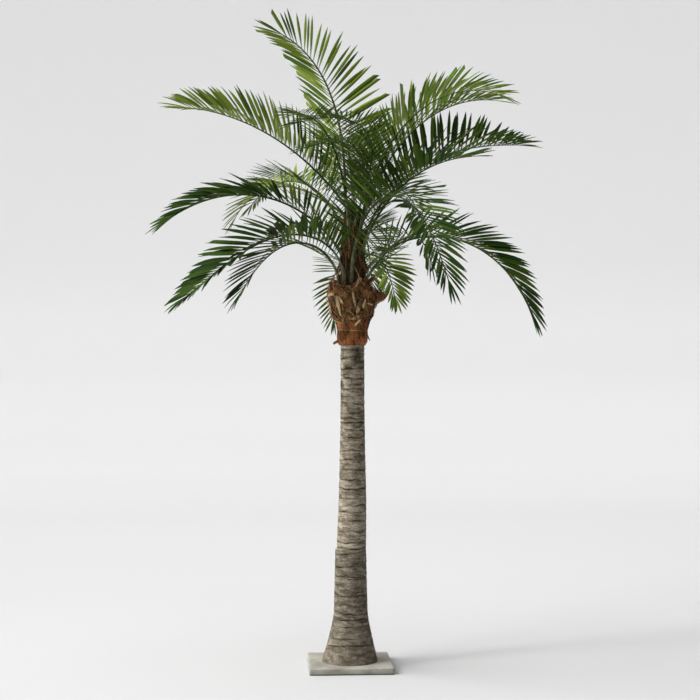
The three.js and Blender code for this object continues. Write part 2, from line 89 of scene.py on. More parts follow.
# Fronds: the same rows that bend the solid ribs, with a tone for the leaflets
RACHIS_STEPS = 32
HEEL_WIDTH = 26
STALK_WIDTH = 16
RIB_TIP_WIDTH = 5
RIB_THICKNESS_SHARE = 0.7
HEEL_REACH = 0.1
BARE_STALK = 0.15
LAST_LEAFLET = 0.97
LEAFLET_LENGTH = 245
LONGEST_AT = 0.3
SHORTEST_AT_STALK = 0.9
SHORTEST_AT_TIP = 0.55
TIP_SHORTENING = 1.6
TIP_FOLD_SHARE = 0.5
SPREAD_AT_STALK = 60
SPREAD_AT_TIP = 25
SPREAD_POWER = 2.2
SIDE_SPREAD_FROM = 0.4
BASE_WIDTH_SHARE = 0.45
WIDEST_FROM = 0.58
SHADED_BASE = 0.35
NARROWER_FROM = 0.65
TIP_WIDTH_SHARE = 0.66
RIB_SECTIONS = 36
STALK_TINT_END = BARE_STALK * 1.1
# How far single leaflets stray from the rule: angles in degrees, and shares of place and size
SPREAD_STRAY = 2.2
FOLD_STRAY = 3.5
TWIST_STRAY = 7
END_STRAY = 2
PLACE_STRAY = 0.25
LENGTH_RANGE = (0.92, 1.03)
WIDTH_RANGE = (0.85, 1.1)
DROOP_RANGE = (0.2, 1.6)
# Where a leaflet grows across the rib, how much wider a cut one is, and how slanted its end
ROOT_SHARE = 0.3
CUT_WIDER = 1.4
CUT_SLANT = 0.45
# Leaflets past the rib's end: turns in degrees, overlap with the rib, and shares of the usual sizes
END_TURNS = (-9, 1, 10)
END_OVERLAP = 12
END_LENGTH_RANGE = (0.46, 0.56)
END_WIDTH_SHARE = 0.6
END_DROOP_SHARE = 0.5

# seat, reach and foot place a frond's heel: azimuth, distance from the crown's axis and height. heading
# is where it points, and rise, fall, length, bend and sweep curve its rib. roll turns the blade about
# the rib and fold raises its sides. blade and width are a leaflet's greatest length and width, and cut
# is the share of leaflets with a blunt end. near is the share of the usual spread that the first
# leaflets take, and left and right those of the outer ones on either side.
Frond = namedtuple(
    "Frond",
    "name seat reach foot heading rise fall length bend sweep roll fold "
    "blade width cut tone near left right",
    defaults=(1, 1, 1))
HIGH_FRONDS = (
    Frond("frond_crest", 180, 30, 2115, 185, 89, 26, 1040, 2.5, 0, 62, 26, 290, 16.5, 0.1, "fresh",
          near=0.9, left=1.25, right=0.7),
    Frond("frond_left_high", -125, 25, 2200, -152, 49, 0, 1000, 1.15, 0, -35, 48, 260, 23, 0.05, "light"),
    Frond("frond_right_high", -25, 35, 2105, -23, 76, -23, 1060, 1.85, 0, 20, 54, 260, 18, 0.05, "pale"),
    Frond("frond_right_high_back", 25, 35, 2100, 15, 72, -2, 1060, 1.6, 0, 15, 44, 245, 18, 0.05, "pale"),
    Frond("frond_front_high", -92, 32, 2090, -45, 74, -20, 1130, 0.9, -120, 0, 30, 170, 10, 0, "deep"),
    Frond("frond_front_left", -118, 42, 2100, -111, 85, -14, 1090, 0.72, 0, 0, 30, 210, 11, 0, "fresh"),
    Frond("frond_back_high", 68, 28, 2150, 92, 68, -20, 1080, 1.2, 0, 0, 34, 245, 17, 0.05, "deep"),
)
MIDDLE_FRONDS = (
    Frond("frond_left_middle", -165, 42, 1975, -150, 56, -34, 1060, 0.9, 0, -10, 32, 245, 24, 0.06, "deep",
          near=1.15, left=0.6, right=0.6),
    Frond("frond_left_back", 130, 30, 2170, 138, 35, -52, 826, 1.75, 0, -20, 32, 220, 14, 0.05, "light"),
    Frond("frond_right_middle", 16, 44, 2030, 24, 73, 3, 1140, 0.68, 0, 22, 72, 285, 21, 0.05, "deep",
          left=1.2, right=1.2),
    Frond("frond_right_front", -22, 44, 1995, -50, 66, -2, 875, 0.86, 0, 10, 38, 245, 22, 0.1, "deep"),
    Frond("frond_front_middle", -60, 40, 2030, -60, 76, -20, 1000, 0.9, -90, 0, 30, 170, 11, 0, "deep"),
    Frond("frond_back_right", 66, 40, 2060, 64, 60, -30, 1000, 1, 0, 0, 34, 245, 17, 0.05, "deep"),
    Frond("frond_back_left", 125, 38, 2060, 120, 60, -30, 1080, 1, 0, 0, 34, 245, 17, 0.05, "deep"),
    Frond("frond_back_middle", 78, 45, 1970, 80, 48, -55, 1050, 0.9, 0, 0, 34, 245, 17, 0.05, "deep"),
)
LOW_FRONDS = (
    Frond("frond_left_low", -128, 70, 1850, -153, 96, -38, 1050, 0.36, 0, -8, 32, 245, 30, 0.06, "deep"),
    Frond("frond_left_front", 165, 60, 1850, -137, 75, -52, 815, 0.62, 0, 15, 32, 245, 21, 0.04, "deep"),
    Frond("frond_back_low_left", 100, 50, 1905, 98, 44, -75, 590, 0.7, 0, 0, 26, 175, 14, 0, "deep"),
    Frond("frond_front_arch", -95, 70, 1850, -68, 96, -58, 1340, 0.62, 0, 0, 30, 245, 19, 0.08, "deep"),
    Frond("frond_right_low", -5, 48, 1890, -18, 58, -67, 1052, 0.78, 0, 24, 34, 245, 22, 0.04, "deep",
          left=0.65, right=0.65),
    Frond("frond_front_low", -35, 60, 1856, -64, 33, -70, 693, 2.9, 0, 0, 30, 245, 12, 0.05, "deep"),
    Frond("frond_back_low_right", 48, 50, 1910, 58, 69, -63, 524, 0.58, 0, 0, 26, 190, 23, 0.05, "fresh"),
)
FROND_TIERS = {"high": HIGH_FRONDS, "middle": MIDDLE_FRONDS, "low": LOW_FRONDS}

# How often each leaf tint is dealt to the upper and under faces of a frond's leaflets, by its tone
LEAF_TINTS = ("leaf_deep", "leaf_forest", "leaf_green", "leaf_moss", "leaf_fresh", "leaf_pale")
# The tones are partly the leaves' own colour, with paler undersides, and partly painted light: fronds that
# look lit or lit through get paler tints, fronds in shade darker ones
TONES = {
    "deep": ((5, 4, 1, 0, 0, 0), (2, 5, 3, 1, 0, 0)),
    "fresh": ((2, 5, 3, 0, 0, 0), (0, 1, 3, 4, 2, 0)),
    "pale": ((0, 3, 4, 2, 0, 0), (0, 0, 1, 3, 5, 3)),
    "light": ((0, 0, 1, 4, 4, 1), (0, 0, 0, 3, 5, 4)),
}

# A leaflet's half width along its length, for a pointed one and for one with a cut end
LEAFLET_STATIONS = np.array((0, 0.08, 0.2, 0.35, 0.5, 0.68, 0.85, 1.0))
POINTED = np.array((0.2, 0.32, 0.56, 0.84, 1.0, 0.94, 0.6, 0.03))
CUT = np.array((0.16, 0.28, 0.55, 0.85, 1.0, 1.0, 0.96, 0.9))


# Settings


class PalmPlateSettings(bpy.types.PropertyGroup):
    """Finish of the stand plate"""

    unevenness: FloatProperty(
        name="Unevenness", description="Height of the cast surface's waves",
        default=0.0006, unit="LENGTH")
    concrete: FloatVectorProperty(
        name="Concrete", description="Main colour of the plate",
        subtype="COLOR", default=(0.485, 0.463, 0.405))
    stain: FloatVectorProperty(
        name="Stain", description="Darker clouds on the plate",
        subtype="COLOR", default=(0.3, 0.285, 0.24))


class PalmTrunkSettings(bpy.types.PropertyGroup):
    """Bark of the trunk"""

    ring_pitch: FloatProperty(
        name="Ring pitch", description="Mean distance between ring scars",
        default=0.04, unit="LENGTH")
    cracks: IntProperty(
        name="Cracks", description="Short cracks between the ring scars", default=90)
    bark_lift: FloatProperty(
        name="Bark lift", description="How far the bark stands out before its scars are cut",
        default=0.0022,
        unit="LENGTH")
    foot_shade: FloatProperty(
        name="Foot shade", description="Brightness of the foot's bark beside the shaft's",
        default=0.6)
    ring_depth: FloatProperty(
        name="Ring depth", description="Depth of a ring scar", default=0.0028, unit="LENGTH")
    bark_pale: FloatVectorProperty(
        name="Pale bark", description="Weathered patches",
        subtype="COLOR", default=(0.412, 0.36, 0.283))
    bark: FloatVectorProperty(
        name="Bark", description="Main bark colour", subtype="COLOR", default=(0.165, 0.134, 0.084))
    bark_dark: FloatVectorProperty(
        name="Dark bark", description="Ring scars and stains",
        subtype="COLOR", default=(0.028, 0.023, 0.016))


class PalmFibreSettings(bpy.types.PropertyGroup):
    """Coir of the crown"""

    strand_count: IntProperty(
        name="Strands", description="Loose coir strands on the crown", default=2600)
    strand_radius: FloatProperty(
        name="Strand radius", description="Thickness of a strand", default=0.0011, unit="LENGTH")
    coir_dark: FloatVectorProperty(
        name="Dark coir", description="Shadowed fibre",
        subtype="COLOR", default=(0.022, 0.012, 0.006))
    coir: FloatVectorProperty(
        name="Coir", description="Main fibre colour", subtype="COLOR", default=(0.178, 0.09, 0.03))
    coir_warm: FloatVectorProperty(
        name="Warm coir", description="Orange-brown fibre of the collar",
        subtype="COLOR", default=(0.28, 0.105, 0.036))
    straw: FloatVectorProperty(
        name="Straw", description="Sheath ribs", subtype="COLOR", default=(0.54, 0.375, 0.2))


class PalmFrondSettings(bpy.types.PropertyGroup):
    """Ribs and leaflets of the fronds"""

    leaflets_a_metre: FloatProperty(
        name="Leaflets a metre", description="Leaflets along each side of a metre of rib",
        default=38)
    leaflet_width: FloatProperty(
        name="Leaflet width", description="Share of each frond's own leaflet width", default=1)
    leaflet_thickness: FloatProperty(
        name="Leaflet thickness", description="Thickness at the crease",
        default=0.0012, unit="LENGTH")
    crease: FloatProperty(
        name="Crease", description="How far a leaflet's edges stand above its crease", default=0.3)
    droop: FloatProperty(
        name="Droop", description="Sag of a leaflet's tip as a share of its length", default=0.07)
    leaf_deep: FloatVectorProperty(
        name="Deep leaf", description="Darkest leaf tint",
        subtype="COLOR", default=(0.018, 0.044, 0.006))
    leaf_forest: FloatVectorProperty(
        name="Forest leaf", description="Dark leaf tint",
        subtype="COLOR", default=(0.036, 0.072, 0.009))
    leaf_green: FloatVectorProperty(
        name="Green leaf", description="Middle leaf tint",
        subtype="COLOR", default=(0.062, 0.11, 0.013))
    leaf_moss: FloatVectorProperty(
        name="Moss leaf", description="Yellow-green leaf tint",
        subtype="COLOR", default=(0.115, 0.168, 0.02))
    leaf_fresh: FloatVectorProperty(
        name="Fresh leaf", description="Light leaf tint",
        subtype="COLOR", default=(0.175, 0.24, 0.036))
    leaf_pale: FloatVectorProperty(
        name="Pale leaf", description="Palest leaf tint",
        subtype="COLOR", default=(0.27, 0.33, 0.085))
    stalk: FloatVectorProperty(
        name="Stalk", description="Grey-green stalks", subtype="COLOR", default=(0.15, 0.185, 0.1))
    rib: FloatVectorProperty(
        name="Rib", description="Ribs between the leaflets",
        subtype="COLOR", default=(0.045, 0.05, 0.02))


class PalmStageSettings(bpy.types.PropertyGroup):
    """Studio round the palm"""

    floor: FloatVectorProperty(
        name="Floor", description="Pale studio floor", subtype="COLOR", default=(0.62, 0.62, 0.62))
    wall: FloatVectorProperty(
        name="Wall", description="Paler backdrop behind the palm",
        subtype="COLOR", default=(0.68, 0.68, 0.68))
    wall_glow: FloatProperty(
        name="Backdrop light", description="How brightly the backdrop is lit from behind",
        default=0.19)
    key_strength: FloatProperty(
        name="Key light", description="Soft light from the left", default=4.75)
    key_softness: FloatProperty(
        name="Key softness", description="How wide the key light looks",
        subtype="ANGLE", default=math.radians(75))
    lamp_strength: FloatProperty(
        name="Lamp", description="Narrower light from the front left", default=0.8)
    lamp_softness: FloatProperty(
        name="Lamp softness", description="How wide the lamp looks",
        subtype="ANGLE", default=math.radians(11))
    top_power: FloatProperty(
        name="Top light", description="Wide light above the palm", default=140, unit="POWER")
    sky_strength: FloatProperty(
        name="Sky", description="Even light from all round", default=0.26)
    camera_distance: FloatProperty(
        name="Camera distance", description="From the camera to the trunk",
        default=7.253, unit="LENGTH")
    camera_height: FloatProperty(
        name="Camera height", description="Above the floor", default=1.531, unit="LENGTH")
    camera_turn: FloatProperty(
        name="Camera turn", description="How far the plate is turned from the camera",
        subtype="ANGLE",
        default=math.radians(3.4))
    camera_lens: FloatProperty(
        name="Lens", description="Focal length on a 36 mm sensor", default=77.1, unit="CAMERA")


# Shared helpers


def mix(a, b, share):
    return a + (b - a) * share


def clamp(value):
    return min(1, max(0, value))


def outward_at(azimuth):
    """The level direction away from the trunk, at an azimuth in radians"""
    return Vector((math.cos(azimuth), math.sin(azimuth), 0))

def settings_of(context, name):
    return getattr(context.scene, name)


def add_piece(name, mesh, materials, nodes):
    """Puts a finished mesh in the scene, on the palm's body, in place of its solids"""
    for material in materials:
        mesh.materials.append(material)
    piece = bpy.data.objects.new(name, mesh)
    bpy.context.scene.collection.objects.link(piece)
    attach(piece, BODY)
    if nodes:
        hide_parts(*nodes)
    return piece


def mesh_from(bm, name, smooth=True):
    for face in bm.faces:
        face.smooth = smooth
    mesh = bpy.data.meshes.new(name)
    bm.to_mesh(mesh)
    bm.free()
    return mesh


def mesh_of(name, verts, faces, tints):
    """A mesh from lists of vertices and faces, with a tint for each face"""
    mesh = bpy.data.meshes.new(name)
    mesh.from_pydata(verts, [], faces)
    mesh.polygons.foreach_set("material_index", np.array(tints, dtype=np.int32))
    mesh.update()
    return mesh


def round_off(bm, parts, offset, segments, affect="EDGES"):
    bmesh.ops.bevel(bm, geom=parts, offset=offset, offset_type="OFFSET", segments=segments,
                    profile=0.5, affect=affect, material=-1)


def turn_shell(outline, cuts, steps):
    """A shell turned about the trunk's axis from (radius, height) points, with cuts between them"""
    bm = bmesh.new()
    chain = [bm.verts.new((radius * MM, 0, height * MM)) for radius, height in outline]
    edges = [bm.edges.new(pair) for pair in zip(chain, chain[1:])]
    bmesh.ops.subdivide_edges(bm, edges=edges, cuts=cuts)
    bmesh.ops.spin(bm, geom=bm.verts[:] + bm.edges[:], cent=(0, 0, 0), axis=(0, 0, 1),
                   angle=math.tau, steps=steps, use_merge=True)
    bmesh.ops.remove_doubles(bm, verts=bm.verts[:], dist=WELD)
    open_edges = [edge for edge in bm.edges if edge.is_boundary]
    if open_edges:
        bmesh.ops.holes_fill(bm, edges=open_edges, sides=0)
    bmesh.ops.recalc_face_normals(bm, faces=bm.faces[:])
    return bm


def loft(bm, sections, sides=8):
    """A closed limb through sections of (point, side, up, half width, half thickness)"""
    def placing(section):
        point, side, up, half_width, half_thick = section
        along = side.cross(up)
        columns = (side * half_width, up * half_thick, along * half_width, point)
        matrix = Matrix.Identity(4)
        for index, column in enumerate(columns):
            for axis in range(3):
                matrix[axis][index] = column[axis]
        return matrix

    made = []
    last = placing(sections[0])
    ring = bmesh.ops.create_circle(bm, cap_ends=False, segments=sides, radius=1, matrix=last)["verts"]
    edges = list({edge for vert in ring for edge in vert.link_edges})
    made += bmesh.ops.edgeloop_fill(bm, edges=edges)["faces"]
    for section in sections[1:]:
        here = placing(section)
        grown = bmesh.ops.extrude_edge_only(bm, edges=edges)["geom"]
        verts = [item for item in grown if isinstance(item, bmesh.types.BMVert)]
        edges = [item for item in grown if isinstance(item, bmesh.types.BMEdge)
                 and all(vert in verts for vert in item.verts)]
        made += [item for item in grown if isinstance(item, bmesh.types.BMFace)]
        bmesh.ops.transform(bm, matrix=here @ last.inverted(), verts=verts)
        last = here
    made += bmesh.ops.edgeloop_fill(bm, edges=edges)["faces"]
    return made


# Materials


def plain_material(name, colour, roughness, specular):
    material = bpy.data.materials.new(name)
    material.use_nodes = True
    shader = material.node_tree.nodes["Principled BSDF"]
    shader.inputs["Base Color"].default_value = (*colour, 1)
    shader.inputs["Roughness"].default_value = roughness
    shader.inputs["Specular IOR Level"].default_value = specular
    return material


def add_noise(material, scale, stretch=(1, 1, 1), detail=6, roughness=0.6):
    """A noise on the piece's own place, stretched along its axes"""
    nodes, links = material.node_tree.nodes, material.node_tree.links
    place = nodes.new("ShaderNodeTexCoord")
    mapping = nodes.new("ShaderNodeMapping")
    mapping.inputs["Scale"].default_value = stretch
    texture = nodes.new("ShaderNodeTexNoise")
    texture.inputs["Scale"].default_value = scale
    texture.inputs["Detail"].default_value = detail
    texture.inputs["Roughness"].default_value = roughness
    links.new(place.outputs["Object"], mapping.inputs["Vector"])
    links.new(mapping.outputs["Vector"], texture.inputs["Vector"])
    return texture.outputs["Fac"]


def add_ramp(material, value, stops):
    nodes, links = material.node_tree.nodes, material.node_tree.links
    ramp = nodes.new("ShaderNodeValToRGB")
    ramp.color_ramp.elements[0].position = stops[0][0]
    ramp.color_ramp.elements[0].color = (*stops[0][1], 1)
    ramp.color_ramp.elements[1].position = stops[-1][0]
    ramp.color_ramp.elements[1].color = (*stops[-1][1], 1)
    for position, colour in stops[1:-1]:
        ramp.color_ramp.elements.new(position).color = (*colour, 1)
    links.new(value, ramp.inputs["Fac"])
    return ramp.outputs["Color"]


def add_mix(material, factor, first, second):
    """Mixes two colours by a factor; a colour is a socket or three numbers"""
    nodes, links = material.node_tree.nodes, material.node_tree.links
    blend = nodes.new("ShaderNodeMix")
    blend.data_type = "RGBA"
    links.new(factor, blend.inputs["Factor"])
    for slot, colour in ((6, first), (7, second)):
        if isinstance(colour, bpy.types.NodeSocket):
            links.new(colour, blend.inputs[slot])
        else:
            blend.inputs[slot].default_value = (*colour, 1)
    return blend.outputs[2]


def add_product(material, first, second):
    """Multiplies two colours"""
    blend = material.node_tree.nodes.new("ShaderNodeMix")
    blend.data_type = "RGBA"
    blend.blend_type = "MULTIPLY"
    blend.inputs["Factor"].default_value = 1
    material.node_tree.links.new(first, blend.inputs[6])
    material.node_tree.links.new(second, blend.inputs[7])
    return blend.outputs[2]


def add_attribute(material, name):
    attribute = material.node_tree.nodes.new("ShaderNodeAttribute")
    attribute.attribute_name = name
    return attribute.outputs["Fac"]


def add_place(material, axis, length):
    """Place along an axis, as a share of a length"""
    nodes, links = material.node_tree.nodes, material.node_tree.links
    place = nodes.new("ShaderNodeTexCoord")
    mapping = nodes.new("ShaderNodeMapping")
    mapping.inputs["Scale"].default_value = (1 / length, 1 / length, 1 / length)
    axes = nodes.new("ShaderNodeSeparateXYZ")
    links.new(place.outputs["Object"], mapping.inputs["Vector"])
    links.new(mapping.outputs["Vector"], axes.inputs["Vector"])
    return axes.outputs[axis]


def grey(value):
    return (value, value, value)


def set_colour(material, colour):
    shader = material.node_tree.nodes["Principled BSDF"]
    material.node_tree.links.new(colour, shader.inputs["Base Color"])


def set_bump(material, height, distance, strength):
    nodes, links = material.node_tree.nodes, material.node_tree.links
    bump = nodes.new("ShaderNodeBump")
    bump.inputs["Strength"].default_value = strength
    bump.inputs["Distance"].default_value = distance
    links.new(height, bump.inputs["Height"])
    links.new(bump.outputs["Normal"], nodes["Principled BSDF"].inputs["Normal"])


def concrete_material(settings):
    """Clouded concrete with a fine grain, with painted shade low on its sides: a painted contact shadow
    along their foot, and the sides painted a little darker than the top
    """
    material = plain_material("cast_concrete", settings.concrete, roughness=0.88, specular=0.3)
    clouds = add_noise(material, scale=9, detail=5)
    grain = add_noise(material, scale=260, detail=3)
    tone = add_ramp(material, clouds, ((0.34, settings.stain), (0.6, settings.concrete)))
    speck = add_ramp(material, grain, ((0.36, grey(0.72)), (0.6, grey(1.05))))
    height = add_place(material, "Z", PLATE_THICK * MM)
    # Painted shade by height: nearly black at the bottom as a painted contact shadow, then the sides a
    # little darker than the top
    sides = add_ramp(material, height, (
        (0.1, grey(0.2)), (0.27, grey(0.78)), (0.87, grey(0.9)), (0.98, grey(1))))
    set_colour(material, add_product(material, add_product(material, tone, speck), sides))
    set_bump(material, grain, distance=0.001, strength=0.5)
    return material


def bark_material(settings):
    """Mottled bark, with stains, streaks and scars where the trunk's vertices ask for them"""
    material = plain_material("moulded_bark", settings.bark, roughness=0.86, specular=0.15)
    patches = add_noise(material, scale=19, stretch=(1, 1, 2.4), roughness=0.7)
    tone = add_ramp(material, patches, ((0.4, settings.bark), (0.62, settings.bark_pale)))
    clouds = add_noise(material, scale=13, stretch=(1, 1, 1.3), detail=5, roughness=0.7)
    blots = add_ramp(material, clouds, ((0.5, grey(0)), (0.62, grey(0.9))))
    stains = add_product(material, blots, add_attribute(material, "stain"))
    stained = add_mix(material, stains, tone, settings.bark_dark)
    streaks = add_noise(material, scale=16, stretch=(1, 1, 9), detail=7, roughness=0.68)
    lines = add_ramp(material, streaks, ((0.36, grey(1)), (0.46, grey(0))))
    worn_lines = add_product(material, lines, add_attribute(material, "streak"))
    streaked = add_mix(material, worn_lines, stained, settings.bark_dark)
    scarred = add_mix(material, add_attribute(material, "scar"), streaked, settings.bark_dark)
    grain = add_noise(material, scale=240, stretch=(1, 1, 1.4), detail=3, roughness=0.7)
    speck = add_ramp(material, grain, ((0.36, grey(0.5)), (0.64, grey(1.4))))
    speckled = add_product(material, scarred, speck)
    set_colour(material, add_product(material, speckled, add_attribute(material, "weather")))
    rough = add_noise(material, scale=90, stretch=(1, 1, 2.5), roughness=0.7)
    set_bump(material, rough, distance=0.0018, strength=0.6)
    return material


def coir_material(name, dark, main, light):
    """Upright fibres in three tints, with broad dark patches of painted shade for the hollows"""
    material = plain_material(name, main, roughness=0.9, specular=0.2)
    fibre = add_noise(material, scale=95, stretch=(1, 1, 0.22), roughness=0.7)
    strands = add_ramp(material, fibre, ((0.37, dark), (0.5, main), (0.65, light)))
    # Broad dark patches of painted shade, standing for shade in the coir's hollows
    lumps = add_noise(material, scale=22, stretch=(1, 1, 0.7), detail=3)
    painted_hollow_shade = add_ramp(material, lumps, ((0.38, grey(0.22)), (0.54, grey(1.1))))
    set_colour(material, add_product(material, strands, painted_hollow_shade))
    set_bump(material, fibre, distance=0.004, strength=0.9)
    return material


def stalk_material(name, colour, dark):
    material = plain_material(name, colour, roughness=0.7, specular=0.15)
    grain = add_noise(material, scale=30, stretch=(1, 1, 0.4), detail=4)
    set_colour(material, add_ramp(material, grain, ((0.35, dark), (0.6, colour))))
    fine = add_noise(material, scale=160, stretch=(1, 1, 0.3), detail=3)
    set_bump(material, fine, distance=0.0006, strength=0.4)
    return material


# Stand plate

# Worn rim, longest edge of the mesh that carries the waves, and flat foot, in millimetres
RIM_ROUND = 2.4
PLATE_MESH = 14
PLATE_MESH_ROUNDS = 5
FLAT_FOOT = 6
WAVES_A_METRE = 24


def large_faces(bm):
    return [face for face in bm.faces if len(face.verts) > 4]


class PALM_OT_plate(bpy.types.Operator):
    """Casts the square stand plate with worn edges"""

    bl_idname = "palm.plate"
    bl_label = "Stand plate"

    def execute(self, context):
        settings = settings_of(context, "palm_plate")
        bm = bmesh.new()
        bmesh.ops.create_cube(bm, size=1)
        size = (PLATE_SIDE * MM, PLATE_SIDE * MM, PLATE_THICK * MM)
        bmesh.ops.scale(bm, vec=size, verts=bm.verts[:])
        bmesh.ops.translate(bm, vec=(0, 0, PLATE_THICK * MM / 2), verts=bm.verts[:])
        upright = [edge for edge in bm.edges
                   if abs(edge.verts[0].co.z - edge.verts[1].co.z) > MM]
        round_off(bm, upright, PLATE_CORNER * MM, segments=4)
        rims = [edge for edge in bm.edges
                if any(len(face.verts) > 4 for face in edge.link_faces)]
        round_off(bm, rims, RIM_ROUND * MM, segments=3)
        bmesh.ops.triangulate(bm, faces=large_faces(bm))
        for _ in range(PLATE_MESH_ROUNDS):
            long_edges = [edge for edge in bm.edges if edge.calc_length() > PLATE_MESH * MM]
            if long_edges:
                bmesh.ops.subdivide_edges(bm, edges=long_edges, cuts=1, use_grid_fill=True)
        bmesh.ops.triangulate(bm, faces=large_faces(bm))
        for vert in bm.verts:
            if vert.co.z < FLAT_FOOT * MM:
                continue
            lift = noise.fractal(vert.co * WAVES_A_METRE, 0.9, 2, 4) * settings.unevenness
            vert.co -= vert.normal * abs(lift)
        bmesh.ops.recalc_face_normals(bm, faces=bm.faces[:])
        mesh = mesh_from(bm, "stand_plate")
        add_piece("stand_plate", mesh, [concrete_material(settings)], ["base_plate"])
        return {"FINISHED"}


# Trunk

# Mesh of the trunk: height of a row in millimetres, cuts in each row, and faces round it
TRUNK_ROW = 12
TRUNK_CUTS = 3
TRUNK_SIDES = 112
STEP_GAP = 0.5
TRUNK_SEED = 11

# Ranges of the ring scars and of the short cracks between them: how far round the trunk in radians,
# tilt, waves and width in metres, and strength
Scars = namedtuple("Scars", "extent tilt wave strength width")
RINGS = Scars((1.9, 6), (0.002, 0.009), (0.001, 0.003), (0.75, 1.4), (0.002, 0.0044))
CRACKS = Scars((0.2, 0.7), (0, 0.006), (0.0005, 0.002), (0.4, 1), (0.0014, 0.0034))
FIRST_RING = 80
LAST_RING = 20
PITCH_RANGE = (0.55, 1.4)
# The lip over a scar: how soon it fades above and below, in metres, and its share beside the groove's
LIP_ABOVE = 0.011
LIP_BELOW = 0.02
LIP_SHARE = 0.45
GROOVE_SHARE = 0.8
# Relief of the bark between the scars, in metres, and how strongly scars darken
FINE_RELIEF = 0.0008
BROAD_RELIEF = 0.0012
SCAR_DARKNESS = 1.35
SCAR_MOTTLE = 0.25
# How strongly streaks and stains show at the foot and on the shaft
FOOT_STREAKS = 0.25
SHAFT_STREAKS = 0.8
FOOT_STAINS = 0.3
SHAFT_STAINS = 1


def trunk_radius(height):
    if height < FLARE_TOP:
        to_foot = (FLARE_TOP - height) / (FLARE_TOP - PLATE_THICK)
        return WAIST_RADIUS + (FLARE_RADIUS - WAIST_RADIUS) * to_foot ** FLARE_POWER
    if height < STEP_HEIGHT:
        return mix(WAIST_RADIUS, FOOT_TOP_RADIUS, (height - FLARE_TOP) / (STEP_HEIGHT - FLARE_TOP))
    to_step = max(0, SHAFT_TAPER_END - height) / (SHAFT_TAPER_END - STEP_HEIGHT)
    return mix(SHAFT_TOP_RADIUS, SHAFT_FOOT_RADIUS, to_step ** SHAFT_TAPER_POWER)


def trunk_drift(height):
    if height <= STEP_HEIGHT:
        return FOOT_LEAN * math.sin(math.pi / 2 * min(1, height / FLARE_TOP))
    up = min(1, (height - STEP_HEIGHT) / (LEAN_HEIGHT - STEP_HEIGHT))
    return mix(SHAFT_LEAN, TRUNK_LEAN, math.sin(math.pi / 2 * up))


def draw_scar(rng, height, ranges):
    return {
        "height": height,
        "centre": rng.uniform(-math.pi, math.pi),
        "extent": rng.uniform(*ranges.extent),
        "tilt": rng.uniform(*ranges.tilt),
        "phase": rng.uniform(0, math.tau),
        "wave": rng.uniform(*ranges.wave),
        "strength": rng.uniform(*ranges.strength),
        "width": rng.uniform(*ranges.width),
        "seed": rng.uniform(0, 50),
    }


def trunk_scars(settings, rng):
    """Ring scars up the trunk and short cracks between them"""
    scars = []
    height = (PLATE_THICK + FIRST_RING) * MM
    while height < (SHAFT_TOP - LAST_RING) * MM:
        scars.append(draw_scar(rng, height, RINGS))
        height += settings.ring_pitch * rng.uniform(*PITCH_RANGE)
    for _ in range(settings.cracks):
        scars.append(draw_scar(rng, rng.uniform(PLATE_THICK, SHAFT_TOP) * MM, CRACKS))
    return scars


def scar_relief(settings, azimuth, height):
    """How far each vertex stands out, in metres, and how deep in a scar it lies"""
    relief = np.full(len(height), settings.bark_lift)
    depth = np.zeros(len(height))
    for scar in trunk_scars(settings, random.Random(TRUNK_SEED)):
        seed, strength = scar["seed"], scar["strength"]
        waves = np.sin(3 * azimuth + seed) + 0.6 * np.sin(7 * azimuth + 2 * seed)
        above = (height - scar["height"] - scar["tilt"] * np.sin(azimuth + scar["phase"])
                 - scar["wave"] * waves)
        away = np.abs((azimuth - scar["centre"] + math.pi) % math.tau - math.pi)
        worn = 0.75 + 0.25 * np.sin(azimuth * 5 + 3 * seed)
        reach = np.exp(-(away / scar["extent"]) ** 4) * worn
        groove = np.exp(-(above / scar["width"]) ** 2) * strength * reach
        lip = np.where(above > 0, np.exp(-above / LIP_ABOVE),
                       -np.exp(np.minimum(above, 0) / LIP_BELOW))
        relief += settings.ring_depth * (LIP_SHARE * lip * strength * reach
                                         - GROOVE_SHARE * groove)
        depth = np.maximum(depth, groove)
    return relief, depth


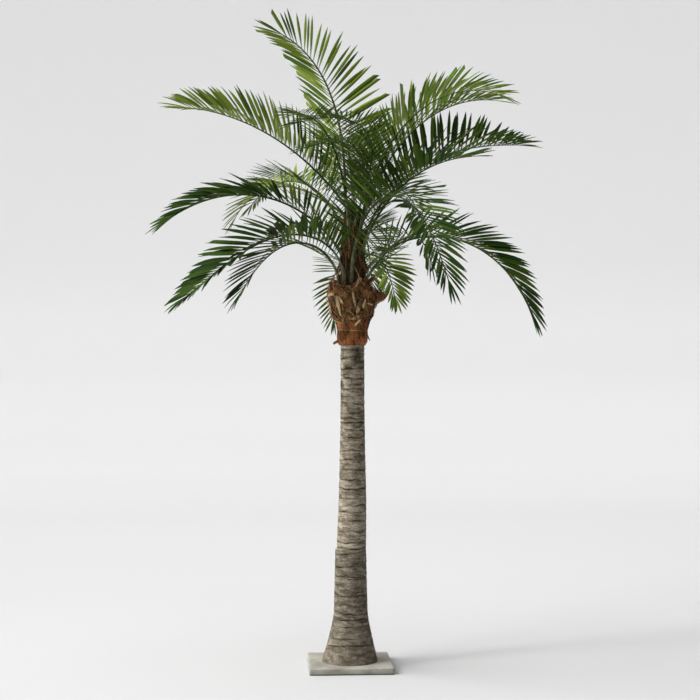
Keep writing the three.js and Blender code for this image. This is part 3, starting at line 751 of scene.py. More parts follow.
class PALM_OT_trunk(bpy.types.Operator):
    """Moulds the trunk with its flared foot, step and ring scars"""

    bl_idname = "palm.trunk"
    bl_label = "Trunk"

    def execute(self, context):
        settings = settings_of(context, "palm_trunk")
        heights = [*range(PLATE_THICK, STEP_HEIGHT, TRUNK_ROW),
                   STEP_HEIGHT - STEP_GAP, STEP_HEIGHT + STEP_GAP,
                   *range(STEP_HEIGHT + TRUNK_ROW, SHAFT_TOP, TRUNK_ROW), SHAFT_TOP]
        outline = [(trunk_radius(height), height) for height in heights]
        bm = turn_shell(outline, TRUNK_CUTS, TRUNK_SIDES)
        places = np.array([vert.co[:] for vert in bm.verts])
        azimuth = np.arctan2(places[:, 1], places[:, 0])
        relief, depth = scar_relief(settings, azimuth, places[:, 2])
        scar, weather, stain, streak = [
            bm.verts.layers.float.new(name) for name in ("scar", "weather", "stain", "streak")]
        for index, vert in enumerate(bm.verts):
            height = places[index, 2] / MM
            outward = outward_at(azimuth[index])
            place = Vector((outward.x * 2, outward.y * 2, places[index, 2] * 26))
            fine = noise.fractal(place * 2.4, 0.8, 2.1, 4)
            broad = noise.noise(Vector((place.x, place.y, place.z * 0.12)))
            vert.co += outward * (relief[index] + FINE_RELIEF * fine + BROAD_RELIEF * broad)
            vert.co.x += trunk_drift(height) * MM
            vert[scar] = float(clamp(depth[index] * (SCAR_DARKNESS + SCAR_MOTTLE * fine)))
            vert[weather] = settings.foot_shade if height < STEP_HEIGHT else 1
            vert[streak] = mix(FOOT_STREAKS, SHAFT_STREAKS, min(1, height / FLARE_TOP) ** 3)
            vert[stain] = mix(FOOT_STAINS, SHAFT_STAINS,
                              clamp((height - STEP_HEIGHT) / (SHAFT_TOP - STEP_HEIGHT)))
        mesh = mesh_from(bm, "ringed_trunk")
        add_piece("ringed_trunk", mesh, [bark_material(settings)],
                  ["trunk_foot", "trunk_shaft"])
        return {"FINISHED"}


# Fibre crown

# The bulb's rim dips at the front, where a stalk comes out, and is ragged. Above the horn the bulb draws
# in, where a wrapped stalk goes up. Azimuths and widths are in degrees, the rest in millimetres.
DIP_DEPTH = 34
DIP_AT = -112
DIP_WIDTH = 34
RIM_RAGGED = 12
TUCK_DEPTH = 26
TUCK_RISE = 40
TUCK_AT = 4
TUCK_WIDTH = 48
# Shares of broad lumps and fine furrows in the coir's roughness, and the pleats where it is tied
LUMP_SHARE = 0.8
FURROW_SHARE = 0.55
PLEATS = 23
# Woven sheaths round the bulb: their mesh, ragged edge, fall at the corners, furrows, thickness, spread
# in degrees, azimuths, and ranges of height and flare
SHEET_COLUMNS = 22
SHEET_ROWS = 14
SHEET_RAGGED = 14
SHEET_CORNERS = 46
SHEET_FURROWS = 2.4
SHEET_THICK = 1.6
SHEET_SPREAD = 62
SHEETS_AT = range(-170, 190, 45)
SHEET_FOOT = 1692
SHEET_TOP_RANGE = (1854, 1872)
SHEET_FLARE_RANGE = (5, 12)
SHEATH_SEED = 23


def swell(azimuth, centre, width):
    """1 at the centre, fading to both sides"""
    return math.exp(-((azimuth - centre) / width) ** 2)


def rim_drop(azimuth):
    """How far the bulb's rim dips, in millimetres"""
    turn = math.radians(azimuth)
    ragged = noise.noise(Vector((math.cos(turn) * 2.6, math.sin(turn) * 2.6, 5)))
    return DIP_DEPTH * swell(azimuth, DIP_AT, DIP_WIDTH) + RIM_RAGGED * ragged


def rim_share(height):
    """How far up a height lies between the bulb's widest part and its rim"""
    return clamp((height - BULB_WIDEST) / (BULB_RIM - BULB_WIDEST))


def rim_tuck(azimuth, height):
    """How far the bulb draws in above the horn, in millimetres"""
    if height > BULB_RIM:
        return 0
    return (TUCK_DEPTH * clamp((height - BULB_WIDEST) / TUCK_RISE)
            * swell(azimuth, TUCK_AT, TUCK_WIDTH))


def coir_shell(outline, cuts, steps, roughness, seed, pleat=0):
    """A turned wad of coir with a lumpy, furrowed surface, gathered in pleats where it is tied"""
    bm = turn_shell(outline, cuts, steps)
    for vert in bm.verts:
        azimuth = math.atan2(vert.co.y, vert.co.x)
        place = Vector((math.cos(azimuth) * 1.4, math.sin(azimuth) * 1.4, vert.co.z * 7))
        place += Vector((seed, 0, 0))
        lump = noise.noise(place)
        furrow = noise.fractal(Vector((place.x * 7, place.y * 7, place.z * 1.6)), 0.7, 2, 4)
        gathered = pleat * math.sin(PLEATS * azimuth + 4 * lump)
        tuck = rim_tuck(math.degrees(azimuth), vert.co.z / MM)
        lift = roughness * (LUMP_SHARE * lump + FURROW_SHARE * furrow) + gathered - tuck
        vert.co += outward_at(azimuth) * MM * lift
        vert.co.x += TRUNK_LEAN * MM
    return bm


def crown_point(azimuth, height, lift=0.0):
    """A point on the fibre crown's surface, in metres, from degrees and millimetres"""
    radii, heights = zip(*CROWN_OUTLINE)
    radius = float(np.interp(height, heights, radii)) + lift - rim_tuck(azimuth, height)
    turn = math.radians(azimuth)
    across, over = radius * math.cos(turn), radius * math.sin(turn)
    return Vector((TRUNK_LEAN + across, over, height)) * MM


def tongue(bm, points, widths, thicknesses, sides=6):
    """A strip of sheath that follows points given as (azimuth, height, lift)"""
    centres = [crown_point(*point) for point in points]
    sections = []
    for index, centre in enumerate(centres):
        before, after = centres[max(0, index - 1)], centres[min(len(centres) - 1, index + 1)]
        along = (after - before).normalized()
        outward = outward_at(math.radians(points[index][0]))
        side = along.cross(outward).normalized()
        up = side.cross(along).normalized()
        half_width, half_thick = widths[index] * MM / 2, thicknesses[index] * MM / 2
        sections.append((centre, up.cross(along), up, half_width, half_thick))
    return loft(bm, sections, sides)


def sheath_sheet(bm, azimuth, high, flare, seed):
    """A woven sheath that wraps part of the bulb and ends in a ragged edge"""
    made = bmesh.ops.create_grid(
        bm, x_segments=SHEET_COLUMNS, y_segments=SHEET_ROWS, size=0.5)["verts"]
    for vert in made:
        across, share = vert.co.x + 0.5, vert.co.y + 0.5
        ragged = (noise.noise(Vector((across * 7, seed, 0)))
                  + 0.6 * noise.noise(Vector((across * 19, seed, 3))))
        peak = high + SHEET_RAGGED * ragged - SHEET_CORNERS * abs(2 * across - 1) ** 2
        height = mix(SHEET_FOOT, peak, share)
        turn = azimuth + (across - 0.5) * SHEET_SPREAD * mix(1, 0.8, share)
        furrow = noise.noise(Vector((across * 11, share * 2, seed)))
        vert.co = crown_point(turn, height - rim_drop(turn) * share,
                              1 + flare * share ** 2 + SHEET_FURROWS * furrow)
    faces = list({face for vert in made for face in vert.link_faces})
    bmesh.ops.solidify(bm, geom=faces, thickness=SHEET_THICK * MM)


class PALM_OT_fibre(bpy.types.Operator):
    """Wraps the crown in coir: collar, bulb and core"""

    bl_idname = "palm.fibre"
    bl_label = "Fibre crown"

    def execute(self, context):
        settings = settings_of(context, "palm_fibre")
        dark, coir, warm = settings.coir_dark, settings.coir, settings.coir_warm
        collar = coir_shell(COLLAR_OUTLINE, cuts=6, steps=138, roughness=3.5, seed=3, pleat=1.6)
        bulb = coir_shell(BULB_OUTLINE, cuts=10, steps=120, roughness=8, seed=17)
        for vert in bulb.verts:
            azimuth = math.degrees(math.atan2(vert.co.y, vert.co.x - TRUNK_LEAN * MM))
            vert.co.z -= rim_drop(azimuth) * rim_share(vert.co.z / MM) * MM
        core = coir_shell(CORE_OUTLINE, cuts=18, steps=72, roughness=5, seed=29)
        add_piece("coir_collar", mesh_from(collar, "coir_collar"),
                  [coir_material("coir_warm", dark, warm, warm)], ["fibre_collar"])
        add_piece("coir_bulb", mesh_from(bulb, "coir_bulb"),
                  [coir_material("coir_brown", dark, coir, settings.straw)], ["fibre_bulb"])
        add_piece("coir_core", mesh_from(core, "coir_core"),
                  [coir_material("coir_shaded", dark, dark, coir)], ["crown_core"])
        return {"FINISHED"}


# Straw ribs that show on the bulb, from low to high: azimuth and height at each end, and width
STRAW_RIBS = (
    (-115, 1747, -124, 1786, 14), (-86, 1733, -94, 1822, 15), (-82, 1708, -75, 1772, 23),
    (-67, 1727, -64, 1775, 18), (-36, 1747, -58, 1754, 10),
)
# Outline of a straw rib: shares of its length, of its width, and thickness there
RIB_PLACES = (0, 0.25, 0.5, 0.75, 1)
RIB_OUTLINE = (0.3, 0.9, 1, 0.8, 0.35)
RIB_THICKS = (3, 4, 4, 4, 3)
RIB_LIFT = 11
RIB_TOP_LIFT = 14
# Straw ribs on the bulb's other sides: their azimuths, and ranges of top, length, lean and width
OTHER_RIBS_AT = range(-20, 216, 22)
RIB_TOP_RANGE = (1770, 1850)
RIB_LENGTH_RANGE = (50, 120)
RIB_LEAN_RANGE = (-8, 8)
RIB_WIDTH_RANGE = (5, 10)
# Torn sheath ends as points of azimuth, height and lift, with widths and thicknesses
TORN_SHEATHS = (
    (((-161, 1789, 9), (-150, 1798, 12), (-138, 1797, 13),
      (-130, 1783, 13), (-129, 1747, 12), (-126, 1694, 9)),
     (9, 15, 19, 22, 21, 8), (4, 4, 4, 4, 4, 3)),
    (((-89, 1812, 2), (-84, 1834, 5), (-77, 1856, 8), (-72, 1878, 10)),
     (8, 13, 19, 23), (4, 5, 5, 4)),
    (((-84, 1648, 0), (-80, 1658, 7), (-75, 1668, 13), (-71, 1676, 20)),
     (9, 13, 11, 5), (4, 4, 4, 3)),
    (((-54, 2160, 0), (-53, 2190, 3), (-52, 2215, 6), (-50, 2240, 8)),
     (14, 18, 16, 7), (6, 6, 5, 4)),
)
HORN = (((-4, 1772, -34), (-4, 1782, -6), (-4, 1789, 14), (-4, 1795, 30), (-4, 1799, 40)),
        (64, 52, 40, 28, 12), (84, 66, 52, 44, 26))
TUFT = (((184, 1576, -10), (184, 1572, 6), (184, 1566, 18), (184, 1561, 28)),
        (18, 14, 13, 11), (17, 14, 13, 12))
SKIRT = (((178, 1745, 2), (180, 1722, 4), (182, 1703, 8), (183, 1687, 14)),
         (70, 64, 52, 30), (8, 8, 7, 5))
WRAP = (((-8, 1832, -8), (-8, 1856, 0), (-8, 1876, 14), (-8, 1898, 17)),
        (46, 40, 34, 26), (22, 20, 18, 12))
FLAP = (((-10, 1612, -4), (-8, 1598, 2), (-6, 1586, 8), (-5, 1577, 15)),
        (52, 42, 24, 6), (7, 6, 5, 4))


def other_ribs(rng):
    """Straw ribs on the bulb's right, back and left"""
    for azimuth in OTHER_RIBS_AT:
        top = rng.uniform(*RIB_TOP_RANGE)
        yield (azimuth + rng.uniform(*RIB_LEAN_RANGE), top - rng.uniform(*RIB_LENGTH_RANGE),
               azimuth + rng.uniform(*RIB_LEAN_RANGE), top, rng.uniform(*RIB_WIDTH_RANGE))


def add_tie(bm):
    """The string that ties the collar, a little slanted"""
    string = bmesh.ops.create_circle(bm, cap_ends=False, segments=6, radius=STRING_RADIUS * MM,
                                     matrix=Matrix.Rotation(math.pi / 2, 4, "X"))["verts"]
    bmesh.ops.translate(bm, vec=(TIE_RADIUS * MM, 0, 0), verts=string)
    loop = list({edge for vert in string for edge in vert.link_edges})
    bmesh.ops.spin(bm, geom=string + loop, cent=(0, 0, 0), axis=(0, 0, 1), angle=math.tau,
                   steps=64, use_merge=True)
    tie = [vert for vert in bm.verts if vert.co.z < TIE_HEIGHT * MM / 2]
    slant = Matrix.Rotation(math.radians(3), 4, "Y")
    place = Matrix.Translation((TRUNK_LEAN * MM, 0, TIE_HEIGHT * MM))
    bmesh.ops.transform(bm, matrix=place @ slant, verts=tie)
    bmesh.ops.remove_doubles(bm, verts=tie, dist=WELD)


class PALM_OT_sheaths(bpy.types.Operator):
    """Adds the torn sheaths of the crown: straw ribs, ragged sheets, horn, tuft, flap and tie"""

    bl_idname = "palm.sheaths"
    bl_label = "Sheath ends"

    def execute(self, context):
        settings = settings_of(context, "palm_fibre")
        rng = random.Random(SHEATH_SEED)
        straw = coir_material("sheath_straw", settings.coir, settings.straw, settings.straw)
        brown = coir_material(
            "sheath_brown", settings.coir_dark, settings.coir, settings.coir_warm)
        bm = bmesh.new()
        ribs = [*STRAW_RIBS, *other_ribs(rng)]
        for azimuth_low, low, azimuth_top, top, width in ribs:
            points = [(mix(azimuth_low, azimuth_top, share), mix(low, top, share),
                       mix(RIB_LIFT, RIB_TOP_LIFT, share)) for share in RIB_PLACES]
            tongue(bm, points, [width * share for share in RIB_OUTLINE], RIB_THICKS)
        for points, widths, thicknesses in TORN_SHEATHS:
            tongue(bm, points, widths, thicknesses)
        add_tie(bm)
        straw_faces = len(bm.faces)
        for points, widths, thicknesses in (HORN, TUFT, SKIRT, WRAP, FLAP):
            tongue(bm, points, widths, thicknesses, sides=12)
        for index, azimuth in enumerate(SHEETS_AT):
            high, flare = rng.uniform(*SHEET_TOP_RANGE), rng.uniform(*SHEET_FLARE_RANGE)
            sheath_sheet(bm, azimuth, high, flare, seed=index * 5.3)
        for index, face in enumerate(bm.faces):
            face.material_index = 0 if index < straw_faces else 1
        bmesh.ops.recalc_face_normals(bm, faces=bm.faces[:])
        add_piece("sheath_ends", mesh_from(bm, "sheath_ends"), [straw, brown], [])
        return {"FINISHED"}


# Loose strands lie in zones: the share of strands up to and with a zone, ranges of the lower end's
# height and of the length, spread of the slant in degrees, lift of the free end, and how often each
# tint is dealt. about is the middle and spread of a zone that doesn't go round the crown.
StrandZone = namedtuple(
    "StrandZone", "up_to low length slant lift tints about", defaults=((4, 5, 3, 0.8), None))
STRAND_ZONES = (
    StrandZone(0.06, (1554, 1640), (25, 70), 16, 1.5, (3, 3, 6, 0.3)),
    StrandZone(0.56, (1650, 1830), (20, 80), 38, 7),
    StrandZone(0.7, (1790, 1850), (25, 60), 22, 22),
    StrandZone(0.76, (1750, 1800), (12, 40), 10, 52, about=(-4, 9)),
    # The core's strands are dealt mostly dark tints: painted shade in the middle of the crown
    StrandZone(1, (1870, 2180), (40, 120), 10, 3, (6, 4, 0.8, 0.1)),
)
STRAND_TINTS = {"strand_dark": "coir_dark", "strand_brown": "coir",
                "strand_warm": "coir_warm", "strand_straw": "straw"}
STRAND_POINTS = 6
STRAND_BEND = 6
STRAND_LIFT = 3
RAISED_RANGE = (0.2, 1)
THICKNESS_RANGE = (0.6, 1.5)
STRAND_SEED = 37
TINY = 1e-9


def tube_arrays(paths, radii, sides=3):
    """Vertices and quads of many thin strands; paths is an array of (strand, point, axis)"""
    count, points, _ = paths.shape
    tangents = np.gradient(paths, axis=1)
    tangents /= np.linalg.norm(tangents, axis=2, keepdims=True) + TINY
    helper = np.where(np.abs(tangents[..., 2:3]) < 0.9, np.array((0, 0, 1.0)), np.array((1.0, 0, 0)))
    first = np.cross(tangents, helper)
    first /= np.linalg.norm(first, axis=2, keepdims=True) + TINY
    second = np.cross(tangents, first)
    taper = np.interp(np.linspace(0, 1, points), (0, 0.15, 0.7, 1), (0.5, 1, 1, 0.25))
    thickness = radii[:, None, None] * taper[None, :, None]
    rings = []
    for side in range(sides):
        turn = math.tau * side / sides
        rings.append(paths + thickness * (math.cos(turn) * first + math.sin(turn) * second))
    verts = np.stack(rings, axis=2).reshape(-1, 3)
    faces = []
    for strand in range(count):
        base = strand * points * sides
        for point in range(points - 1):
            row = base + point * sides
            for side in range(sides):
                after = (side + 1) % sides
                faces.append((row + side, row + after, row + sides + after, row + sides + side))
        faces.append(tuple(base + side for side in reversed(range(sides))))
        faces.append(tuple(base + (points - 1) * sides + side for side in range(sides)))
    return verts, faces


class PALM_OT_strands(bpy.types.Operator):
    """Lays loose coir strands over the crown, frayed at its rims"""

    bl_idname = "palm.strands"
    bl_label = "Coir strands"

    def execute(self, context):
        settings = settings_of(context, "palm_fibre")
        rng = random.Random(STRAND_SEED)
        paths, radii, tints = [], [], []
        for _ in range(settings.strand_count):
            draw = rng.random()
            azimuth = rng.uniform(-180, 180)
            zone = next(zone for zone in STRAND_ZONES if draw < zone.up_to)
            if zone.about:
                azimuth = rng.gauss(*zone.about)
            low, length = rng.uniform(*zone.low), rng.uniform(*zone.length)
            slant, bend = rng.gauss(0, zone.slant), rng.gauss(0, STRAND_BEND)
            raised = rng.uniform(*RAISED_RANGE) * zone.lift
            path = []
            for index in range(STRAND_POINTS):
                share = index / (STRAND_POINTS - 1)
                turn = azimuth + slant * (share - 0.5) + bend * math.sin(math.pi * share)
                height = low + length * share
                height -= rim_drop(turn) * rim_share(height)
                path.append(crown_point(turn, height, STRAND_LIFT + raised * share ** 2)[:])
            paths.append(path)
            radii.append(settings.strand_radius * rng.uniform(*THICKNESS_RANGE))
            tints.append(rng.choices(range(len(STRAND_TINTS)), zone.tints)[0])
        verts, faces = tube_arrays(np.array(paths), np.array(radii))
        per_strand = len(faces) // len(tints)
        mesh = mesh_of("coir_strands", verts.tolist(), faces, np.repeat(tints, per_strand))
        materials = [plain_material(name, getattr(settings, colour), roughness=0.85, specular=0.2)
                     for name, colour in STRAND_TINTS.items()]
        add_piece("coir_strands", mesh, materials, [])
        return {"FINISHED"}


# Fronds


def rachis_frames(row):
    """The rachis as points with a frame at each: along it, up from its blade, and to its side"""
    stride = row.length * MM / RACHIS_STEPS
    seat = math.radians(row.seat)
    point = Vector((TRUNK_LEAN + row.reach * math.cos(seat), row.reach * math.sin(seat), row.foot)) * MM
    frames = []
    for step in range(RACHIS_STEPS + 1):
        t = step / RACHIS_STEPS
        turn = t ** row.bend if row.bend >= 1 else 1 - (1 - t) ** (1 / row.bend)
        climb = math.radians(mix(row.rise, row.fall, turn))
        heading = math.radians(row.heading + row.sweep * t)
        along = Vector((math.cos(climb) * math.cos(heading),
                        math.cos(climb) * math.sin(heading), math.sin(climb)))
        up = Vector((-math.sin(climb) * math.cos(heading),
                     -math.sin(climb) * math.sin(heading), math.cos(climb)))
        up = Matrix.Rotation(math.radians(row.roll) * min(1, t / BARE_STALK), 3, along) @ up
        if frames:
            point = point + (frames[-1][1] + along).normalized() * stride
        frames.append((point, along, up, along.cross(up)))
    return frames


def frame_at(frames, t):
    place = min(t, 1) * RACHIS_STEPS
    index = min(int(place), RACHIS_STEPS - 1)
    share = place - index
    near, far = frames[index], frames[index + 1]
    point = near[0].lerp(far[0], share)
    return (point, *(near[k].lerp(far[k], share).normalized() for k in (1, 2, 3)))


def rib_width(t):
    if t < HEEL_REACH:
        return mix(HEEL_WIDTH, STALK_WIDTH, t / HEEL_REACH)
    return mix(STALK_WIDTH, RIB_TIP_WIDTH, (t - HEEL_REACH) / (1 - HEEL_REACH))


def leaflet_reach(share):
    if share < LONGEST_AT:
        return mix(SHORTEST_AT_STALK, 1, math.sin(math.pi / 2 * share / LONGEST_AT))
    return mix(1, SHORTEST_AT_TIP, ((share - LONGEST_AT) / (1 - LONGEST_AT)) ** TIP_SHORTENING)


def leaflet_breadth(share):
    if share < NARROWER_FROM:
        return mix(BASE_WIDTH_SHARE, 1, min(1, share / WIDEST_FROM))
    return mix(1, TIP_WIDTH_SHARE, (share - NARROWER_FROM) / (1 - NARROWER_FROM))


def frond_nodes(row):
    return [name for name in (row.name, row.name + "_tip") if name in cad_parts]


class PALM_OT_ribs(bpy.types.Operator):
    """Bends the stalk and rib of every frond"""

    bl_idname = "palm.ribs"
    bl_label = "Frond ribs"

    def execute(self, context):
        settings = settings_of(context, "palm_frond")
        stalk = stalk_material("stalk_green", settings.stalk, settings.rib)
        rib = stalk_material("rib_olive", settings.rib, settings.leaf_deep)
        bm = bmesh.new()
        places = [step / RIB_SECTIONS for step in range(RIB_SECTIONS + 1)]
        for row in HIGH_FRONDS + MIDDLE_FRONDS + LOW_FRONDS:
            frames = rachis_frames(row)
            sections = []
            for t in places:
                point, _, up, side = frame_at(frames, t)
                half = rib_width(t) * min(1, row.blade / LEAFLET_LENGTH) * MM / 2
                thick = mix(1, RIB_THICKNESS_SHARE, min(1, t / HEEL_REACH))
                sections.append((point, side, up, half, half * thick))
            for face in loft(bm, sections):
                centre = face.calc_center_median()
                away = [(section[0] - centre).length for section in sections]
                nearest = places[away.index(min(away))]
                face.material_index = 0 if nearest < STALK_TINT_END else 1
        bmesh.ops.recalc_face_normals(bm, faces=bm.faces[:])
        add_piece("frond_ribs", mesh_from(bm, "frond_ribs"), [stalk, rib], [])
        return {"FINISHED"}


def deal_tints(rng, tone):
    """Tints of a leaflet's upper and under face"""
    return [rng.choices(range(len(LEAF_TINTS)), weights)[0] for weights in TONES[tone]]


def leaflet(row, frames, share, hand, settings, rng):
    """One leaflet: where it grows, its axes, sizes, outline and tints"""
    t = mix(BARE_STALK, LAST_LEAFLET, share)
    point, along, up, side = frame_at(frames, t)
    outer = row.right if hand > 0 else row.left
    opened = mix(row.near, outer, min(1, share / SIDE_SPREAD_FROM))
    spread = math.radians(opened * mix(SPREAD_AT_STALK, SPREAD_AT_TIP, share ** SPREAD_POWER)
                          + rng.gauss(0, SPREAD_STRAY))
    fold = math.radians(row.fold * mix(1, TIP_FOLD_SHARE, share) + rng.gauss(0, FOLD_STRAY))
    direction = (along * math.cos(spread) + side * (hand * math.cos(fold) * math.sin(spread))
                 + up * (math.sin(fold) * math.sin(spread)))
    across = (along - direction * along.dot(direction)).normalized() * hand
    across = Matrix.Rotation(math.radians(rng.gauss(0, TWIST_STRAY)), 3, direction) @ across
    # Leaflets near the stalk more often take the deep tone: painted shade deep in the crown
    tone = row.tone if rng.random() < share / SHADED_BASE else "deep"
    cut = rng.random() < row.cut
    width = settings.leaflet_width * row.width * MM * leaflet_breadth(share)
    return {
        "root": point + side * (hand * rib_width(t) * MM * ROOT_SHARE),
        "direction": direction,
        "across": across,
        "normal": direction.cross(across),
        "length": row.blade * MM * leaflet_reach(share) * rng.uniform(*LENGTH_RANGE),
        "width": width * (CUT_WIDER if cut else 1) * rng.uniform(*WIDTH_RANGE),
        "cut": cut,
        "droop": settings.droop * rng.uniform(*DROOP_RANGE),
        "tints": deal_tints(rng, tone),
    }


def terminal_leaflets(row, frames, settings, rng):
    """The last leaflets, which fan out past the end of the rib"""
    point, along, up, _ = frame_at(frames, 1)
    for turn in END_TURNS:
        direction = Matrix.Rotation(math.radians(turn + rng.gauss(0, END_STRAY)), 3, up) @ along
        across = up.cross(direction).normalized()
        yield {
            "root": point - along * (END_OVERLAP * MM),
            "direction": direction,
            "across": across,
            "normal": direction.cross(across),
            "length": row.blade * MM * rng.uniform(*END_LENGTH_RANGE),
            "width": settings.leaflet_width * row.width * MM * END_WIDTH_SHARE,
            "cut": False,
            "droop": settings.droop * END_DROOP_SHARE,
            "tints": deal_tints(rng, row.tone),
        }


def leaflet_arrays(leaflets, settings):
    """Vertices, quads and tints of thin creased leaflets, each with a tint for either face"""
    stations = LEAFLET_STATIONS
    rows = len(stations)
    verts = np.zeros((len(leaflets), rows, 4, 3))
    down = np.array((0, 0, -1.0))
    for index, leaf in enumerate(leaflets):
        direction, across, normal = (
            np.array(leaf[key]) for key in ("direction", "across", "normal"))
        half = leaf["width"] / 2 * (CUT if leaf["cut"] else POINTED)
        centre = (np.array(leaf["root"]) + np.outer(stations * leaf["length"], direction)
                  + np.outer(stations ** 2 * leaf["length"] * leaf["droop"], down))
        lifted = np.outer(half * settings.crease, normal)
        slant = leaf["width"] * CUT_SLANT if leaf["cut"] else 0
        skew = np.outer((stations ** 8) * slant, direction)
        verts[index, :, 0] = centre - np.outer(half, across) + lifted - skew
        verts[index, :, 1] = centre
        verts[index, :, 2] = centre + np.outer(half, across) + lifted + skew
        verts[index, :, 3] = centre - normal * settings.leaflet_thickness
    quads, upper = [], []
    for row in range(rows - 1):
        a, b = row * 4, row * 4 + 4
        quads += [(a, b, b + 1, a + 1), (a + 1, b + 1, b + 2, a + 2),
                  (a + 3, b + 3, b, a), (a + 2, b + 2, b + 3, a + 3)]
        upper += [True, True, False, False]
    end = (rows - 1) * 4
    quads += [(0, 1, 2, 3), (end + 3, end + 2, end + 1, end)]
    upper += [False, False]
    starts = np.arange(len(leaflets))[:, None, None] * rows * 4
    faces = (np.array(quads)[None] + starts).reshape(-1, 4)
    dealt = np.array([leaf["tints"] for leaf in leaflets])
    tints = np.where(np.array(upper)[None], dealt[:, :1], dealt[:, 1:]).reshape(-1)
    return verts.reshape(-1, 3), faces, tints


class PALM_OT_leaflets(bpy.types.Operator):
    """Sets the leaflets along every rib, joined by tier"""

    bl_idname = "palm.leaflets"
    bl_label = "Leaflets"

    def execute(self, context):
        settings = settings_of(context, "palm_frond")
        materials = [plain_material(name, getattr(settings, name), roughness=0.6, specular=0.06)
                     for name in LEAF_TINTS]
        for tier, rows in FROND_TIERS.items():
            leaflets, nodes = [], []
            for row in rows:
                rng = random.Random(row.name)
                frames = rachis_frames(row)
                count = round(settings.leaflets_a_metre * row.length * MM)
                for index in range(count):
                    for hand in (-1, 1):
                        place = index + rng.uniform(-PLACE_STRAY, PLACE_STRAY)
                        share = clamp(place / (count - 1))
                        leaflets.append(leaflet(row, frames, share, hand, settings, rng))
                leaflets += terminal_leaflets(row, frames, settings, rng)
                nodes += frond_nodes(row)
            verts, faces, tints = leaflet_arrays(leaflets, settings)
            mesh = mesh_of(f"leaflets_{tier}", verts.tolist(), faces.tolist(), tints)
            add_piece(f"leaflets_{tier}", mesh, materials, nodes)
        return {"FINISHED"}


# Studio

# Side view of the paper sweep, in metres: how far behind the trunk and how high
SWEEP = ((-14, 0), (8.4, 0), (9.8, 0.25), (10.5, 0.95), (10.9, 2.2), (11, 14))
SWEEP_HALF_WIDTH = 16
SWEEP_ROUND = 0.35
# How the backdrop's light grows with the distance behind the trunk, as shares of the sweep's depth
GLOW_STEPS = ((0.58, 0), (0.77, 0.32), (0.9, 0.52), (1, 1))
# Places of the lights, in metres; the key light and the lamp are turned to the plate
KEY_PLACE = (-8.8, -0.5, 4.6)
LAMP_PLACE = (-8.5, -3.4, 6.2)
TOP_PLACE = (-0.6, -0.5, 6.8)
UNDER_TOP = (-0.6, -0.5, 0)
TOP_SIZE = 4
# Camera: width of its sensor in millimetres, and how far it stands aside from the trunk in metres
SENSOR = 36
CAMERA_ASIDE = 0.0019


def paper_material(settings):
    """Studio paper whose floor passes into the paler, lit backdrop far behind the palm"""
    material = plain_material("studio_paper", settings.floor, roughness=0.95, specular=0.1)
    depth = add_place(material, "Y", SWEEP[-1][0])
    set_colour(material, add_ramp(material, depth, ((0.2, settings.floor), (0.55, settings.wall))))
    shader = material.node_tree.nodes["Principled BSDF"]
    glow = add_ramp(material, depth, [(share, grey(light)) for share, light in GLOW_STEPS])
    material.node_tree.links.new(glow, shader.inputs["Emission Color"])
    shader.inputs["Emission Strength"].default_value = settings.wall_glow
    return material


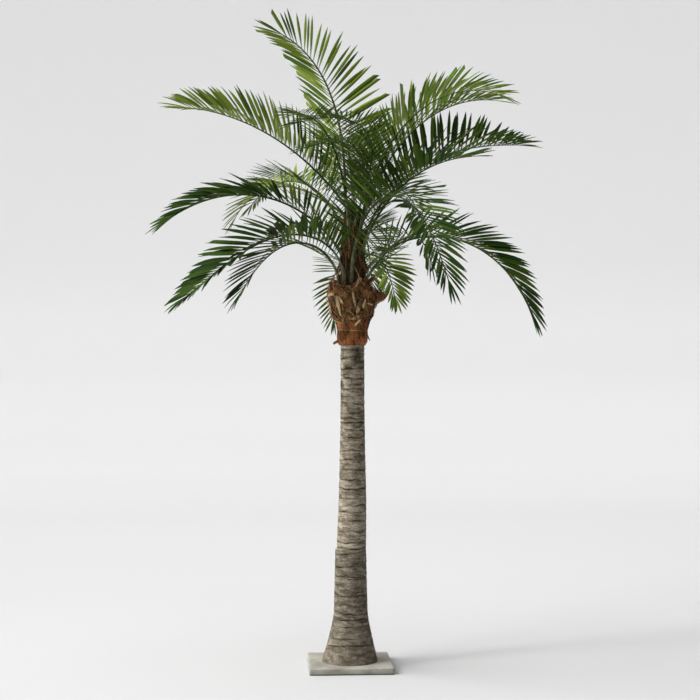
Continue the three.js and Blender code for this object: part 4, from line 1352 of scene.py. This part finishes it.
class PALM_OT_stage(bpy.types.Operator):
    """Sets the pale studio sweep, the soft lights and the camera"""

    bl_idname = "palm.stage"
    bl_label = "Studio"

    def execute(self, context):
        settings = settings_of(context, "palm_stage")
        self.add_sweep(context, settings)
        key = self.add_light(context, "key_light", "SUN", KEY_PLACE)
        key.energy = settings.key_strength
        key.angle = settings.key_softness
        lamp = self.add_light(context, "lamp_light", "SUN", LAMP_PLACE)
        lamp.energy = settings.lamp_strength
        lamp.angle = settings.lamp_softness
        top = self.add_light(context, "top_light", "AREA", TOP_PLACE, UNDER_TOP)
        top.energy = settings.top_power
        top.size = TOP_SIZE
        world = bpy.data.worlds.new("studio_sky")
        world.use_nodes = True
        background = world.node_tree.nodes["Background"]
        background.inputs["Color"].default_value = (1, 1, 1, 1)
        background.inputs["Strength"].default_value = settings.sky_strength
        context.scene.world = world
        context.scene.view_settings.view_transform = "Standard"
        self.add_camera(context, settings)
        return {"FINISHED"}

    def add_sweep(self, context, settings):
        bm = bmesh.new()
        chain = [bm.verts.new((-SWEEP_HALF_WIDTH, y, z)) for y, z in SWEEP]
        for pair in zip(chain, chain[1:]):
            bm.edges.new(pair)
        round_off(bm, chain[2:5], SWEEP_ROUND, segments=6, affect="VERTICES")
        grown = bmesh.ops.extrude_edge_only(bm, edges=bm.edges[:])["geom"]
        far_side = [item for item in grown if isinstance(item, bmesh.types.BMVert)]
        bmesh.ops.translate(bm, vec=(2 * SWEEP_HALF_WIDTH, 0, 0), verts=far_side)
        bmesh.ops.recalc_face_normals(bm, faces=bm.faces[:])
        mesh = mesh_from(bm, "studio_sweep")
        mesh.materials.append(paper_material(settings))
        sweep = bpy.data.objects.new("studio_sweep", mesh)
        context.scene.collection.objects.link(sweep)

    def add_light(self, context, name, kind, place, target=(0, 0, 0)):
        light = bpy.data.lights.new(name, kind)
        holder = bpy.data.objects.new(name, light)
        holder.location = place
        aim = Vector(target) - Vector(place)
        holder.rotation_euler = aim.to_track_quat("-Z", "Y").to_euler()
        context.scene.collection.objects.link(holder)
        return light

    def add_camera(self, context, settings):
        camera = bpy.data.cameras.new("photo_camera")
        camera.lens = settings.camera_lens
        camera.sensor_width = SENSOR
        holder = bpy.data.objects.new("photo_camera", camera)
        turn, distance = settings.camera_turn, settings.camera_distance
        holder.location = (CAMERA_ASIDE - distance * math.sin(turn), -distance * math.cos(turn),
                           settings.camera_height)
        holder.rotation_euler = (math.pi / 2, 0, -turn)
        context.scene.collection.objects.link(holder)
        context.scene.camera = holder


class PALM_PT_sidebar(bpy.types.Panel):
    """Lists the palm's pieces and the studio"""

    bl_idname = "PALM_PT_sidebar"
    bl_label = "Artificial palm"
    bl_space_type = "VIEW_3D"
    bl_region_type = "UI"
    bl_category = "Palm"

    def draw(self, context):
        for operator in OPERATORS:
            self.layout.operator(operator.bl_idname)
        for name, group in SETTINGS.items():
            box = self.layout.box()
            box.label(text=group.__doc__)
            for key in group.__annotations__:
                box.prop(settings_of(context, name), key)


SETTINGS = {
    "palm_plate": PalmPlateSettings,
    "palm_trunk": PalmTrunkSettings,
    "palm_fibre": PalmFibreSettings,
    "palm_frond": PalmFrondSettings,
    "palm_stage": PalmStageSettings,
}
OPERATORS = (PALM_OT_plate, PALM_OT_trunk, PALM_OT_fibre, PALM_OT_sheaths, PALM_OT_strands, PALM_OT_ribs,
             PALM_OT_leaflets, PALM_OT_stage)


def register():
    for name, group in SETTINGS.items():
        bpy.utils.register_class(group)
        setattr(bpy.types.Scene, name, PointerProperty(type=group))
    for operator in OPERATORS:
        bpy.utils.register_class(operator)
    bpy.utils.register_class(PALM_PT_sidebar)


def unregister():
    bpy.utils.unregister_class(PALM_PT_sidebar)
    for operator in reversed(OPERATORS):
        bpy.utils.unregister_class(operator)
    for name, group in reversed(SETTINGS.items()):
        delattr(bpy.types.Scene, name)
        bpy.utils.unregister_class(group)


def main():
    register()
    bpy.ops.palm.plate()
    bpy.ops.palm.trunk()
    bpy.ops.palm.fibre()
    bpy.ops.palm.sheaths()
    bpy.ops.palm.strands()
    bpy.ops.palm.ribs()
    bpy.ops.palm.leaflets()
    bpy.ops.palm.stage()
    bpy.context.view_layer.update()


if __name__ == "__main__":
    main()
